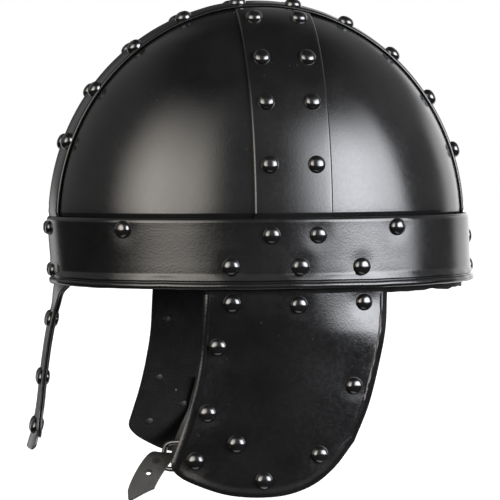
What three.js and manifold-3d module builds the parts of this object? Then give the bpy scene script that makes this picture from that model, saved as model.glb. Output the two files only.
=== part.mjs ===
// Banded nasal helmet with hanging cheek guards, in millimetres.
// +Z is up, the front faces -Y and the wearer's left is +X.
// The origin is the middle of the rim plane, where the head goes in.
import * as THREE from "three";
import { mergeVertices } from "three/addons/utils/BufferGeometryUtils.js";
import Module from "manifold-3d";

const wasm = await Module();
wasm.setup();

// Driving dimensions: sheet stock and seats
const STEEL = 1.5;
const LEATHER = 2;
const SEAT_GAP = 0.45;
const INNER_GAP = 0.7;

// Driving dimensions: the crown's outer face is half an ellipsoid on a straight wall
const CROWN = { halfWidth: 96.5, halfLength: 118, rise: 124.5, equator: 35 };
const PLATE_FOOT = 6;
const PLATE_TOP_SHRINK = 0.2;
const PLATE_TO_RIDGE_MIDDLE = 12;
const PLATE_TO_SIDE_MIDDLE = 5;

// Driving dimensions: bands
const RIDGE = { width: 44, foot: 7, rivetFromMiddle: 17, firstRivet: 21.7, rivetStep: 15.5, rivets: 10 };
const SIDE = { width: 43.4, foot: 7, middle: 5.6, topFromMiddle: 10, rivetFromMiddle: 12.8 };
const SIDE_RIVET_HEIGHTS = [149, 125.7, 101, 67];
const CROSSING = { margin: 8, ramp: 12 };
const BROW = { height: 38.5, lipOut: 0.8, lipDepth: 5 };
const BEAD = { height: 4.6, out: 1.6, widestShare: 0.55, under: 0.7, lift: 0.15, hem: 1.2, hemHeight: 1 };

// Driving dimensions: rivet heads
const RIVET = { radius: 4.8, height: 3.9, root: 0.8, sides: 6 };
const RIVET_SHOULDER = { radiusShare: 0.76, heightShare: 0.66, rootShare: 1.05 };

// Driving dimensions: nose guard, from its tongue inside the brow to the tip
const NASAL = { tongueTop: 37, rivetFromMiddle: 6.4, rivetHeight: 2.4, flatStart: -70, flatDepth: 16 };
const NASAL_RIVET_HEIGHTS = [-20, -53, -80.5];
const NASAL_BACKING = { top: 1.6, bottom: -86, inset: 1.2 };

// Driving dimensions: cheek guards, linings and the way they hang
const GUARD = { top: -2.5, middle: 6, flatness: 340, flatReach: 95, border: 0.9, rimOffset: -0.1 };
const GUARD_BLEND = { start: -4, depth: 36 };
const HINGE_RISE = 22;
const LINING_INSET = 0.012;
const HANG = {
  left: { forward: 0, tilt: 0, lift: 0, swing: 0 },
  right: { forward: 5.5, tilt: -0.5, lift: 2, swing: 8 },
};

// Driving dimensions: liner band
const LINER = { top: 34, front: 3, back: -3.3, wave: 0.5, waves: 17, offset: -4.9 };
const LINER_DIP = { start: -0.2, end: 0.6 };

// Driving dimensions: chin strap and ring
const STRAP = { width: 13.4, pointLength: 10, tipShare: 0.15, steps: 32, shortWidth: 10, shortSteps: 28 };
const STRAP_FROM_LINING = { long: 1.5, short: 0.95 };
const STRAP_HOLE = { radius: 2, step: 9, count: 4 };
const RING = { halfLong: 12.8, halfShort: 8, wire: 1.4, squareness: 5, aboveStrap: 4.2 };

// How finely the pieces are divided
const GRID = { plateAcross: 10, plateUp: 11, bandAcross: 5, ridgeAlong: 30, sideUp: 14, browRound: 60 };
const FINE = { nasalAcross: 6, backingAcross: 3, backingDown: 9, linerRound: 48, ringRound: 20, ringSides: 6 };

// Places counted outwards from the outer face of the quarter plates
const BAND_INNER = SEAT_GAP;
const BAND_OUTER = BAND_INNER + STEEL;
const BROW_INNER = BAND_OUTER + SEAT_GAP;
const BROW_OUTER = BROW_INNER + STEEL;
const TONGUE_OUTER = -STEEL - INNER_GAP;
const TONGUE_INNER = TONGUE_OUTER - STEEL;
const BACKING_OUTER = TONGUE_INNER - SEAT_GAP;

// Rivets of the brow band: place along the side (y) and height, the same on both sides
const BROW_SIDE_RIVETS = [
  { y: -84.8, z: 32.4 },
  { y: -7.2, z: 29.2 },
  { y: 18.4, z: 29.2 },
  { y: 64.7, z: 32.8 },
  { y: -29.2, z: 12.5 },
  { y: 8.4, z: 12.2 },
  { y: 43.2, z: 11.8 },
];
// Rivets of the brow band at the front and back: distance from the middle (x), in pairs unless 0, and height
const BROW_END_RIVETS = [
  { x: 8.5, z: 32, end: -1 },
  { x: 8.5, z: 8, end: -1 },
  { x: 0, z: 24.7, end: 1 },
  { x: 0, z: 7.5, end: 1 },
];

// Half width and forward lean of the nose guard by height
const NASAL_SECTIONS = [
  { z: NASAL.tongueTop, half: 34, lean: 0 },
  { z: 20, half: 34, lean: 0 },
  { z: 5, half: 33, lean: 0 },
  { z: 0, half: 27, lean: 1.2 },
  { z: -5, half: 18, lean: 2 },
  { z: -10, half: 14.3, lean: 2.4 },
  { z: -17, half: 12.4, lean: 3.7 },
  { z: -34, half: 11.6, lean: 6.9 },
  { z: -53, half: 11.3, lean: 9.6 },
  { z: -70, half: 11.8, lean: 11.6 },
  { z: -80, half: 14, lean: 13.1 },
  { z: -87, half: 17.5, lean: 14.7 },
  { z: -90.5, half: 18, lean: 15.4 },
  { z: -93, half: 12, lean: 15.9 },
];

// Edges of a cheek guard in its own plane: y runs to the back, z is up
const GUARD_FRONT = [[-43, GUARD.top], [-44, -18], [-46, -42], [-52, -70], [-61, -97]];
const GUARD_BOTTOM = [[-61, -97], [-52, -104], [-30, -111.5], [-5, -112.5], [13.6, -107.6], [27.3, -97.8], [39, -83.6]];
const GUARD_BACK = [[59, GUARD.top], [57.9, -20], [54.4, -38], [47.8, -63], [39, -83.6]];
const GUARD_RIVETS = [
  { y: -28, z: -7.5 },
  { y: 8, z: -8.6 },
  { y: 45, z: -7.8 },
  { y: -35.5, z: -31 },
  { y: -41, z: -67 },
  { y: -47.5, z: -93 },
  { y: -25.6, z: -83.5 },
  { y: -11, z: -103.5 },
  { y: 19.5, z: -90 },
  { y: 39, z: -53.3 },
];

// Where the long half of the strap lies on the right lining, in the guard's plane, and its width direction
const LONG_ON_LINING = [[-11, -69], [-14.5, -80], [-17.5, -89]];
const LONG_ACROSS_LINING = [0.94, -0.34];
// Middle line of the long half from there to its free end, and its width direction
const LONG_STRAP_FREE = [
  { at: [-82, -31, -98.5], across: [-0.12, 0.98, -0.15] },
  { at: [-54, -37.5, -105], across: [0, 1, 0] },
  { at: [-10, -38.5, -107.5], across: [0, 1, 0] },
  { at: [26, -41, -105], across: [0.12, 0.98, 0.05] },
  { at: [46, -47.5, -99.5], across: [0.38, 0.91, 0.1] },
  { at: [57.5, -55.5, -94.5], across: [0.43, 0.89, 0.12] },
  { at: [66, -61.5, -94.5], across: [0.43, 0.89, -0.1] },
  { at: [74, -68, -99.5], across: [0.42, 0.85, -0.31] },
  { at: [80, -74, -107], across: [0.42, 0.85, -0.31] },
  { at: [84, -78.5, -114.5], across: [0.42, 0.85, -0.31] },
];
const RING_STATION = 4.2;
// Fold of the short half round the ring: reach from the ring's wire, and height over it
const SHORT_FOLD_OUT = [[14, 2.5], [8, 2.9], [3, 3.3]];
const SHORT_FOLD_TURN = { radius: 3.3, from: 90, to: 270, steps: 6 };
const SHORT_FOLD_BACK = [[4, -2.7], [9, -0.9], [15, -0.6]];
// Where the short half lies on the left lining, as places in the guard's plane
const SHORT_ON_LINING = [[-8, -82], [-14, -82.5], [-20, -83]];

const PAINT = { color: 0x1b1b1d, roughness: 0.32, metalness: 0.7 };
const BLACK_LEATHER = { color: 0x191817, roughness: 0.75, metalness: 0 };
const STRAP_LEATHER = { color: 0x4b4843, roughness: 0.7, metalness: 0 };
const RING_STEEL = { color: 0x2b2b2d, roughness: 0.35, metalness: 0.9 };

// Small helpers

const vec = (x, y, z) => new THREE.Vector3(x, y, z);
const mix = THREE.MathUtils.lerp;
const rad = THREE.MathUtils.degToRad;
const deg = THREE.MathUtils.radToDeg;

function evenSteps(from, to, count) {
  return Array.from({ length: count + 1 }, (_, i) => mix(from, to, i / count));
}

// Merge shared corners, drop collapsed triangles and turn the faces outwards
function closedBody(geometry) {
  geometry.deleteAttribute("normal");
  geometry.deleteAttribute("uv");
  const body = mergeVertices(geometry, 1e-4);
  const position = body.getAttribute("position");
  const corner = [vec(), vec(), vec()];
  const kept = [];
  let volume = 0;
  for (let i = 0; i < body.index.count; i += 3) {
    const ids = [0, 1, 2].map((k) => body.index.getX(i + k));
    if (new Set(ids).size < 3) continue;
    ids.forEach((id, k) => corner[k].fromBufferAttribute(position, id));
    volume += corner[0].dot(corner[1].clone().cross(corner[2]));
    kept.push(ids);
  }
  const turned = volume < 0 ? kept.map(([a, b, c]) => [a, c, b]) : kept;
  body.setIndex(turned.flat());
  return body;
}

// A lattice block bent into a wall: place(u, v, side) gives the inner (0) and outer (1) faces
function bentWall(us, vs, place) {
  const nu = us.length - 1;
  const nv = vs.length - 1;
  const block = new THREE.BoxGeometry(1, 1, 1, nu, nv, 1);
  const position = block.getAttribute("position");
  for (let i = 0; i < position.count; i += 1) {
    const u = us[Math.round((position.getX(i) + 0.5) * nu)];
    const v = vs[Math.round((position.getY(i) + 0.5) * nv)];
    const p = place(u, v, position.getZ(i) > 0 ? 1 : 0);
    position.setXYZ(i, p.x, p.y, p.z);
  }
  return closedBody(block);
}

// A closed profile of [offset, height] turned round a circle and then drawn in to the rim's ellipse
function rimRing(profile, segments, heightAt = (angle, z) => z) {
  const base = CROWN.halfLength;
  const outline = [...profile, profile[0]].map(([offset, z]) => new THREE.Vector2(base + offset, z));
  const lathe = new THREE.LatheGeometry(outline, segments);
  const position = lathe.getAttribute("position");
  for (let i = 0; i < position.count; i += 1) {
    const angle = Math.atan2(position.getX(i), position.getZ(i));
    const offset = Math.hypot(position.getX(i), position.getZ(i)) - base;
    const x = (CROWN.halfWidth + offset) * Math.cos(angle);
    const y = (CROWN.halfLength + offset) * Math.sin(angle);
    position.setXYZ(i, x, y, heightAt(angle, position.getY(i)));
  }
  return closedBody(lathe);
}

function toSolid(body) {
  const vertProperties = new Float32Array(body.getAttribute("position").array);
  const triVerts = new Uint32Array(body.index.array);
  return new wasm.Manifold(new wasm.Mesh({ numProp: 3, vertProperties, triVerts }));
}

function fromSolid(solid) {
  const mesh = solid.getMesh();
  const body = new THREE.BufferGeometry();
  body.setAttribute("position", new THREE.BufferAttribute(new Float32Array(mesh.vertProperties), 3));
  body.setIndex(new THREE.BufferAttribute(new Uint32Array(mesh.triVerts), 1));
  return body;
}

// Point and outward normal of a face given as a function of two places on it
function seatOn(face, u, v, outward) {
  const step = 0.5;
  const along = face(u + step, v).sub(face(u - step, v));
  const up = face(u, v + step).sub(face(u, v - step));
  const normal = along.cross(up).normalize();
  if (normal.dot(outward) < 0) normal.negate();
  return { point: face(u, v), normal };
}

function rivetHead({ point, normal }, height) {
  const { radius, root, sides } = RIVET;
  const { radiusShare, heightShare, rootShare } = RIVET_SHOULDER;
  const shoulder = [radiusShare * radius, heightShare * height];
  const profile = [[0, height], shoulder, [rootShare * radius, -root], [0, -root]];
  const head = new THREE.LatheGeometry(profile.map(([r, z]) => new THREE.Vector2(r, z)), sides);
  head.applyQuaternion(new THREE.Quaternion().setFromUnitVectors(vec(0, 1, 0), normal));
  head.translate(point.x, point.y, point.z);
  return closedBody(head);
}

function withRivets(body, seats, height = RIVET.height) {
  const heads = seats.map((seat) => toSolid(rivetHead(seat, height)));
  return fromSolid(heads.reduce((solid, head) => solid.add(head), toSolid(body)));
}

// The crown's surface

// Point on the crown cut by the plane at x, where angle runs from the front (0) over the top (180)
function ridgePoint(x, station, offset) {
  const shrink = Math.sqrt(1 - (x / (CROWN.halfWidth + offset)) ** 2);
  const angle = rad(station.angle);
  const y = -(CROWN.halfLength + offset) * shrink * Math.cos(angle);
  const z = station.foot ?? CROWN.equator + (CROWN.rise + offset) * shrink * Math.sin(angle);
  return vec(x, y, z);
}

// Point on the crown cut by the plane at y, where angle runs from the side (0) to the top (90)
function sidePoint(side, y, station, offset) {
  const shrink = Math.sqrt(1 - (y / (CROWN.halfLength + offset)) ** 2);
  const angle = rad(station.angle);
  const x = side * (CROWN.halfWidth + offset) * shrink * Math.cos(angle);
  const z = station.foot ?? CROWN.equator + (CROWN.rise + offset) * shrink * Math.sin(angle);
  return vec(x, y, z);
}

// How far the ridge band is lifted where it passes over the side bands
function crossingLift(y) {
  const past = Math.abs(y - SIDE.middle) - SIDE.width / 2 - CROSSING.margin;
  return (STEEL + SEAT_GAP) * (1 - THREE.MathUtils.smoothstep(past, 0, CROSSING.ramp));
}

function crownPlate(side, end) {
  const topAngle = deg(Math.acos(PLATE_TOP_SHRINK));
  const rows = evenSteps(0, topAngle, GRID.plateUp).map((angle) => ({ angle }));
  const stations = [{ angle: 0, foot: PLATE_FOOT }, ...rows];
  const sideEdge = SIDE.middle + end * PLATE_TO_SIDE_MIDDLE;
  return bentWall(evenSteps(0, 1, GRID.plateAcross), stations, (u, station, outer) => {
    const offset = outer ? 0 : -STEEL;
    const shrink = Math.cos(rad(station.angle));
    const halfWidth = (CROWN.halfWidth + offset) * shrink;
    const halfLength = (CROWN.halfLength + offset) * shrink;
    const ridgeTurn = end * Math.acos(PLATE_TO_RIDGE_MIDDLE / halfWidth);
    const sideTurn = Math.asin(sideEdge / halfLength);
    const turn = mix(sideTurn, ridgeTurn, u);
    const z = station.foot ?? CROWN.equator + (CROWN.rise + offset) * Math.sin(rad(station.angle));
    return vec(side * halfWidth * Math.cos(turn), halfLength * Math.sin(turn), z);
  });
}

function ridgeBand() {
  const half = RIDGE.width / 2;
  const arch = evenSteps(0, 180, GRID.ridgeAlong).map((angle) => ({ angle }));
  const stations = [{ angle: 0, foot: RIDGE.foot }, ...arch, { angle: 180, foot: RIDGE.foot }];
  const face = (x, station, offset) => {
    const lift = crossingLift(ridgePoint(x, station, offset).y);
    return ridgePoint(x, station, offset + (station.foot === undefined ? lift : 0));
  };
  const across = evenSteps(-half, half, GRID.bandAcross);
  const band = bentWall(across, stations, (x, station, outer) =>
    face(x, station, outer ? BAND_OUTER : BAND_INNER));
  const seats = [];
  for (let i = 0; i < RIDGE.rivets; i += 1) {
    const angle = RIDGE.firstRivet + i * RIDGE.rivetStep;
    for (const x of [-RIDGE.rivetFromMiddle, RIDGE.rivetFromMiddle]) {
      const outward = vec(0, -Math.cos(rad(angle)), Math.sin(rad(angle)));
      seats.push(seatOn((u, v) => face(u, { angle: v }, BAND_OUTER), x, angle, outward));
    }
  }
  return withRivets(band, seats);
}

function sideBand(side) {
  const half = SIDE.width / 2;
  const stations = [{ angle: 0, foot: SIDE.foot }, ...evenSteps(0, 1, GRID.sideUp).map((share) => ({ share }))];
  const face = (y, station, offset) => {
    const shrink = Math.sqrt(1 - (y / (CROWN.halfLength + offset)) ** 2);
    const top = Math.acos(SIDE.topFromMiddle / ((CROWN.halfWidth + offset) * shrink));
    const angle = station.angle ?? station.share * deg(top);
    return sidePoint(side, y, { angle, foot: station.foot }, offset);
  };
  const across = evenSteps(SIDE.middle - half, SIDE.middle + half, GRID.bandAcross);
  const band = bentWall(across, stations, (y, station, outer) =>
    face(y, station, outer ? BAND_OUTER : BAND_INNER));
  const seats = [];
  for (const height of SIDE_RIVET_HEIGHTS) {
    for (const sign of [-1, 1]) {
      const y = SIDE.middle + sign * SIDE.rivetFromMiddle;
      const shrink = Math.sqrt(1 - (y / (CROWN.halfLength + BAND_OUTER)) ** 2);
      const rise = (height - CROWN.equator) / ((CROWN.rise + BAND_OUTER) * shrink);
      const angle = deg(Math.asin(rise));
      const outward = vec(side, 0, 1);
      seats.push(seatOn((u, v) => sidePoint(side, u, { angle: v }, BAND_OUTER), y, angle, outward));
    }
  }
  return withRivets(band, seats);
}

// Point on the outside of the brow band, by its turn round the rim in degrees
function browPoint(turn, z) {
  const x = (CROWN.halfWidth + BROW_OUTER) * Math.cos(rad(turn));
  const y = (CROWN.halfLength + BROW_OUTER) * Math.sin(rad(turn));
  return vec(x, y, z);
}

function browBand() {
  const { height, lipOut, lipDepth } = BROW;
  const bead = BROW_OUTER + BEAD.out;
  const lip = BROW_OUTER + lipOut;
  const profile = [
    [BROW_INNER, BEAD.hemHeight],
    [BROW_INNER + BEAD.hem, 0],
    [bead - BEAD.under, BEAD.lift],
    [bead, BEAD.widestShare * BEAD.height],
    [BROW_OUTER, BEAD.height],
    [BROW_OUTER, height - lipDepth],
    [lip, height],
    [lip - STEEL, height],
    [BROW_INNER, height - lipDepth],
  ];
  const seats = [];
  const addSeat = (turn, z) => {
    const outward = browPoint(turn, z).setZ(0);
    seats.push(seatOn(browPoint, turn, z, outward));
  };
  for (const { y, z } of BROW_SIDE_RIVETS) {
    const turn = deg(Math.asin(y / (CROWN.halfLength + BROW_OUTER)));
    addSeat(turn, z);
    addSeat(180 - turn, z);
  }
  for (const { x, z, end } of BROW_END_RIVETS) {
    const turn = deg(Math.acos(x / (CROWN.halfWidth + BROW_OUTER)));
    addSeat(end * turn, z);
    if (x > 0) addSeat(end * (180 - turn), z);
  }
  return withRivets(rimRing(profile, GRID.browRound), seats);
}

// Nose guard

function nasalSection(z) {
  const below = NASAL_SECTIONS.findIndex((section) => section.z <= z);
  if (below <= 0) return NASAL_SECTIONS[0];
  const [a, b] = [NASAL_SECTIONS[below - 1], NASAL_SECTIONS[below]];
  const share = (a.z - z) / (a.z - b.z);
  return { half: mix(a.half, b.half, share), lean: mix(a.lean, b.lean, share) };
}

// Point on the nose guard at x and height z; below the rim it leans forward, and its tip is flat
function nasalPoint(x, z, offset) {
  const round = 1 - Math.sqrt(1 - (x / (CROWN.halfWidth + offset)) ** 2);
  const flat = THREE.MathUtils.smoothstep(NASAL.flatStart - z, 0, NASAL.flatDepth);
  const reach = (CROWN.halfLength + offset) * (1 - round * (1 - flat));
  return vec(x, -reach - nasalSection(z).lean, z);
}

function nasal() {
  const heights = NASAL_SECTIONS.map((section) => section.z);
  const plate = bentWall(evenSteps(-1, 1, FINE.nasalAcross), heights, (u, z, outer) =>
    nasalPoint(u * nasalSection(z).half, z, outer ? TONGUE_OUTER : TONGUE_INNER));
  const seats = [];
  for (const z of NASAL_RIVET_HEIGHTS) {
    for (const x of [-NASAL.rivetFromMiddle, NASAL.rivetFromMiddle]) {
      seats.push(seatOn((u, v) => nasalPoint(u, v, TONGUE_OUTER), x, z, vec(0, -1, 0)));
    }
  }
  return withRivets(plate, seats, NASAL.rivetHeight);
}

function nasalBacking() {
  const { top, bottom, inset } = NASAL_BACKING;
  const across = evenSteps(-1, 1, FINE.backingAcross);
  return bentWall(across, evenSteps(top, bottom, FINE.backingDown), (u, z, outer) =>
    nasalPoint(u * (nasalSection(z).half - inset), z, outer ? BACKING_OUTER : BACKING_OUTER - STEEL));
}

// Cheek guards

// Shares of the width and height at which a guard and its lining are both divided
const GUARD_ACROSS = [0.05, 0.2, 0.35, 0.5, 0.65, 0.8, 0.95];
const GUARD_DOWN = [0, 0.15, 0.3, 0.45, 0.6, 0.75, 0.88];
// Shares at which only the guard is divided, where its raised border begins and ends
const BORDER_ACROSS = 0.03;
const BORDER_DOWN = [0.945, 0.965];

const edgeCurve = (points) => new THREE.SplineCurve(points.map(([y, z]) => new THREE.Vector2(y, z)));
const frontEdge = edgeCurve(GUARD_FRONT);
const bottomEdge = edgeCurve(GUARD_BOTTOM);
const backEdge = edgeCurve(GUARD_BACK);

// Place in the guard's plane: u runs from the front edge to the back, v from the top edge down
function guardPlace(u, v) {
  const top = frontEdge.getPoint(0).lerp(backEdge.getPoint(0), u);
  const chord = bottomEdge.getPoint(0).lerp(bottomEdge.getPoint(1), u);
  const across = frontEdge.getPointAt(v).lerp(backEdge.getPointAt(v), u);
  const down = top.clone().lerp(bottomEdge.getPointAt(u), v);
  return across.add(down).sub(top.lerp(chord, v));
}

// The outer face of a guard: it follows the rim at the top and is flatter below
function guardReach(y, z) {
  const rimWidth = CROWN.halfWidth + GUARD.rimOffset;
  const rimLength = CROWN.halfLength + GUARD.rimOffset;
  const rim = rimWidth * Math.sqrt(1 - (y / rimLength) ** 2);
  const flat = GUARD.flatReach - (y - GUARD.middle) ** 2 / GUARD.flatness;
  const share = THREE.MathUtils.smoothstep(GUARD_BLEND.start - z, 0, GUARD_BLEND.depth);
  return mix(rim, flat, share);
}

// Hang a place of the guard's plane on its side of the helmet, inwards from the outer face
// Below its top edge the guard swings out about the rim
function hungPoint(side, y, z, inwards) {
  const { forward, tilt, lift, swing } = side > 0 ? HANG.left : HANG.right;
  const hung = new THREE.Vector2(y, z).rotateAround(new THREE.Vector2(GUARD.middle, 0), rad(-tilt));
  const hungY = hung.x - forward;
  const hinge = new THREE.Vector2(guardReach(hungY, GUARD.top), GUARD.top);
  const place = new THREE.Vector2(guardReach(hungY, hung.y) - inwards, hung.y + lift);
  if (z <= GUARD.top) place.rotateAround(hinge, rad(swing));
  return vec(side * place.x, hungY, place.y);
}

function cheekGuard(side) {
  const us = [0, BORDER_ACROSS, ...GUARD_ACROSS, 1 - BORDER_ACROSS, 1];
  const vs = [...GUARD_DOWN, ...BORDER_DOWN, 1];
  const plate = bentWall(us, vs, (u, v, outer) => {
    const place = guardPlace(u, v);
    const onBorder = u <= BORDER_ACROSS || u >= 1 - BORDER_ACROSS || v >= BORDER_DOWN[1];
    const proud = onBorder ? GUARD.border : 0;
    return hungPoint(side, place.x, place.y, outer ? -proud : STEEL);
  });
  const seats = GUARD_RIVETS.map(({ y, z }) =>
    seatOn((u, v) => hungPoint(side, u, v, 0), y, z, vec(side, 0, 0)));
  return withRivets(plate, seats);
}

function cheekLining(side) {
  const outerFace = STEEL + INNER_GAP;
  const us = [LINING_INSET, ...GUARD_ACROSS, 1 - LINING_INSET];
  const vs = [-1, ...GUARD_DOWN, 1 - LINING_INSET];
  return bentWall(us, vs, (u, v, outer) => {
    const place = guardPlace(u, Math.max(v, 0));
    const z = place.y + Math.max(-v, 0) * HINGE_RISE;
    return hungPoint(side, place.x, z, outer ? outerFace : outerFace + LEATHER);
  });
}

// Liner band: its lower edge dips and waves at the back
function linerBand() {
  const { top, front, back, wave, waves, offset } = LINER;
  const profile = [[offset, 0], [offset, 1], [offset - LEATHER, 1], [offset - LEATHER, 0]];
  return rimRing(profile, FINE.linerRound, (angle, share) => {
    const backShare = THREE.MathUtils.smoothstep(Math.sin(angle), LINER_DIP.start, LINER_DIP.end);
    const low = mix(front, back, backShare) + wave * backShare * Math.sin(waves * angle);
    return mix(low, top, share);
  });
}

// Chin strap

// A flat strap through stations of { at, across }, with its half width given along its length
function flatStrap(stations, steps, halfWidthAt) {
  const line = new THREE.CatmullRomCurve3(stations.map(({ at }) => vec(...at)), false, "centripetal");
  const turns = new THREE.CatmullRomCurve3(stations.map(({ across }) => vec(...across)), false, "centripetal");
  const frameAt = (t) => {
    const along = line.getTangent(t);
    const across = turns.getPoint(t);
    across.addScaledVector(along, -across.dot(along)).normalize();
    return { middle: line.getPoint(t), across, up: along.clone().cross(across) };
  };
  const body = bentWall([-1, 1], evenSteps(0, 1, steps), (u, t, outer) => {
    const { middle, across, up } = frameAt(t);
    const height = outer ? LEATHER / 2 : -LEATHER / 2;
    return middle.addScaledVector(across, u * halfWidthAt(t)).addScaledVector(up, height);
  });
  return { body, frameAt, length: line.getLength() };
}

const STRAP_SEAT = STEEL + INNER_GAP + LEATHER + LEATHER / 2;

function longStations() {
  const [acrossY, acrossZ] = LONG_ACROSS_LINING;
  const inwards = STRAP_SEAT + STRAP_FROM_LINING.long;
  const onLining = LONG_ON_LINING.map(([y, z]) => {
    const at = hungPoint(-1, y, z, inwards);
    const across = hungPoint(-1, y + acrossY, z + acrossZ, inwards).sub(at);
    return { at: at.toArray(), across: across.toArray() };
  });
  return [...onLining, ...LONG_STRAP_FREE];
}

function longStrap() {
  const half = STRAP.width / 2;
  const stations = longStations();
  const plain = flatStrap(stations, STRAP.steps, () => half);
  const pointShare = STRAP.pointLength / plain.length;
  const strap = flatStrap(stations, STRAP.steps, (t) =>
    half * Math.min(1, mix(STRAP.tipShare, 1, (1 - t) / pointShare)));
  let solid = toSolid(strap.body);
  for (let i = 0; i < STRAP_HOLE.count; i += 1) {
    const fromEnd = 2 * STRAP.pointLength + i * STRAP_HOLE.step;
    const { middle, up } = strap.frameAt(1 - fromEnd / plain.length);
    const punch = new THREE.CylinderGeometry(STRAP_HOLE.radius, STRAP_HOLE.radius, 3 * LEATHER, RIVET.sides);
    punch.applyQuaternion(new THREE.Quaternion().setFromUnitVectors(vec(0, 1, 0), up));
    punch.translate(middle.x, middle.y, middle.z);
    solid = solid.subtract(toSolid(closedBody(punch)));
  }
  const ringShare = (LONG_ON_LINING.length + RING_STATION) / (stations.length - 1);
  return { body: fromSolid(solid), atRing: strap.frameAt(ringShare) };
}

// Axes of the ring: it stands across the long strap, which lies on its lower side
function ringFrame({ middle, across, up }) {
  const through = across.clone().cross(up).normalize();
  const guardEnd = hungPoint(1, ...SHORT_ON_LINING.at(-1), 2 * (STEEL + LEATHER));
  const centre = middle.clone().addScaledVector(up, RING.aboveStrap);
  const long = guardEnd.sub(centre);
  long.addScaledVector(through, -long.dot(through)).normalize();
  return { centre, long, short: through.clone().cross(long), through };
}

function chinRing({ centre, long, short, through }) {
  const { halfLong, halfShort, wire, squareness } = RING;
  const torus = new THREE.TorusGeometry(halfShort, wire, FINE.ringSides, FINE.ringRound);
  const position = torus.getAttribute("position");
  const squared = (value) => Math.sign(value) * Math.abs(value) ** (2 / squareness);
  for (let i = 0; i < position.count; i += 1) {
    const turn = Math.atan2(position.getY(i), position.getX(i));
    const out = Math.hypot(position.getX(i), position.getY(i)) - halfShort;
    const reach = halfLong * squared(Math.cos(turn)) + out * Math.cos(turn);
    const rise = halfShort * squared(Math.sin(turn)) + out * Math.sin(turn);
    const point = centre.clone().addScaledVector(long, reach);
    point.addScaledVector(short, rise).addScaledVector(through, position.getZ(i));
    position.setXYZ(i, point.x, point.y, point.z);
  }
  return closedBody(torus);
}

function shortStrap({ centre, long, short }) {
  const onLining = SHORT_ON_LINING.map(([y, z]) => hungPoint(1, y, z, STRAP_SEAT + STRAP_FROM_LINING.short));
  const eye = centre.clone().addScaledVector(long, RING.halfLong);
  const along = onLining.at(-1).clone().sub(eye);
  along.addScaledVector(short, -along.dot(short)).normalize();
  const over = along.clone().cross(short);
  const foldPoint = ([reach, height]) =>
    eye.clone().addScaledVector(along, reach).addScaledVector(over, height);
  const { radius, from, to, steps } = SHORT_FOLD_TURN;
  const turn = evenSteps(from, to, steps).map((angle) =>
    [radius * Math.cos(rad(angle)), radius * Math.sin(rad(angle))]);
  const fold = [...SHORT_FOLD_OUT, ...turn, ...SHORT_FOLD_BACK].map(foldPoint);
  const upright = [0, 0, Math.sign(short.z)];
  const stations = [
    ...onLining.map((point) => ({ at: point.toArray(), across: upright })),
    ...fold.map((point) => ({ at: point.toArray(), across: short.toArray() })),
  ];
  return flatStrap(stations, STRAP.shortSteps, () => STRAP.shortWidth / 2).body;
}

// Assembly

const helmet = new THREE.Group();

function addPiece(name, geometry, look) {
  const piece = new THREE.Mesh(geometry, new THREE.MeshStandardMaterial(look));
  piece.name = name;
  helmet.add(piece);
}

for (const [sideName, side] of [["left", 1], ["right", -1]]) {
  addPiece(`crown_plate_front_${sideName}`, crownPlate(side, -1), PAINT);
  addPiece(`crown_plate_back_${sideName}`, crownPlate(side, 1), PAINT);
  addPiece(`side_band_${sideName}`, sideBand(side), PAINT);
  addPiece(`cheek_guard_${sideName}`, cheekGuard(side), PAINT);
  addPiece(`cheek_lining_${sideName}`, cheekLining(side), BLACK_LEATHER);
}
addPiece("ridge_band", ridgeBand(), PAINT);
addPiece("brow_band", browBand(), PAINT);
addPiece("nasal", nasal(), PAINT);
addPiece("nasal_backing", nasalBacking(), PAINT);
addPiece("liner_band", linerBand(), BLACK_LEATHER);

const strap = longStrap();
const ring = ringFrame(strap.atRing);
addPiece("chin_strap_right", strap.body, STRAP_LEATHER);
addPiece("chin_strap_left", shortStrap(ring), STRAP_LEATHER);
addPiece("chin_ring", chinRing(ring), RING_STEEL);

export default helmet;
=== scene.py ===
"""Riveted nasal helmet: black banded crown, nose guard, lined cheek guards and a chin strap."""

import math
import random

import bmesh
import bpy
from bpy.props import FloatProperty, FloatVectorProperty, PointerProperty
from mathutils import Matrix, Vector


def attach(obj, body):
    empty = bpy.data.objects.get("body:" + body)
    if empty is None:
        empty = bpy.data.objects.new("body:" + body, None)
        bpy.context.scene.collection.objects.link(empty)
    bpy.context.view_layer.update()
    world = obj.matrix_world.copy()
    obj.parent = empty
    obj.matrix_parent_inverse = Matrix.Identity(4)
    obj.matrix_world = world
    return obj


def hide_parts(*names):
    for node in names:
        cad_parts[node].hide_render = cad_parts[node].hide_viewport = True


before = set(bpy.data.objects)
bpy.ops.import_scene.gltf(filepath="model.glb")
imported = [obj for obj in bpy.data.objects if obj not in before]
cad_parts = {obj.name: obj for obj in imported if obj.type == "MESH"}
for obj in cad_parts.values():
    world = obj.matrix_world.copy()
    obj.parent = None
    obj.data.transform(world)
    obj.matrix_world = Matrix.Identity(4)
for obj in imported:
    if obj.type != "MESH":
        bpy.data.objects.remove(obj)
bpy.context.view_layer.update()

bl_info = {
    "name": "Nasal helmet",
    "version": (1, 0, 0),
    "blender": (4, 5, 0),
    "location": "3D View > Sidebar > Helmet",
    "description": "Builds the visible pieces of a riveted nasal helmet in its packed frame",
    "category": "Add Mesh",
}

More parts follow.
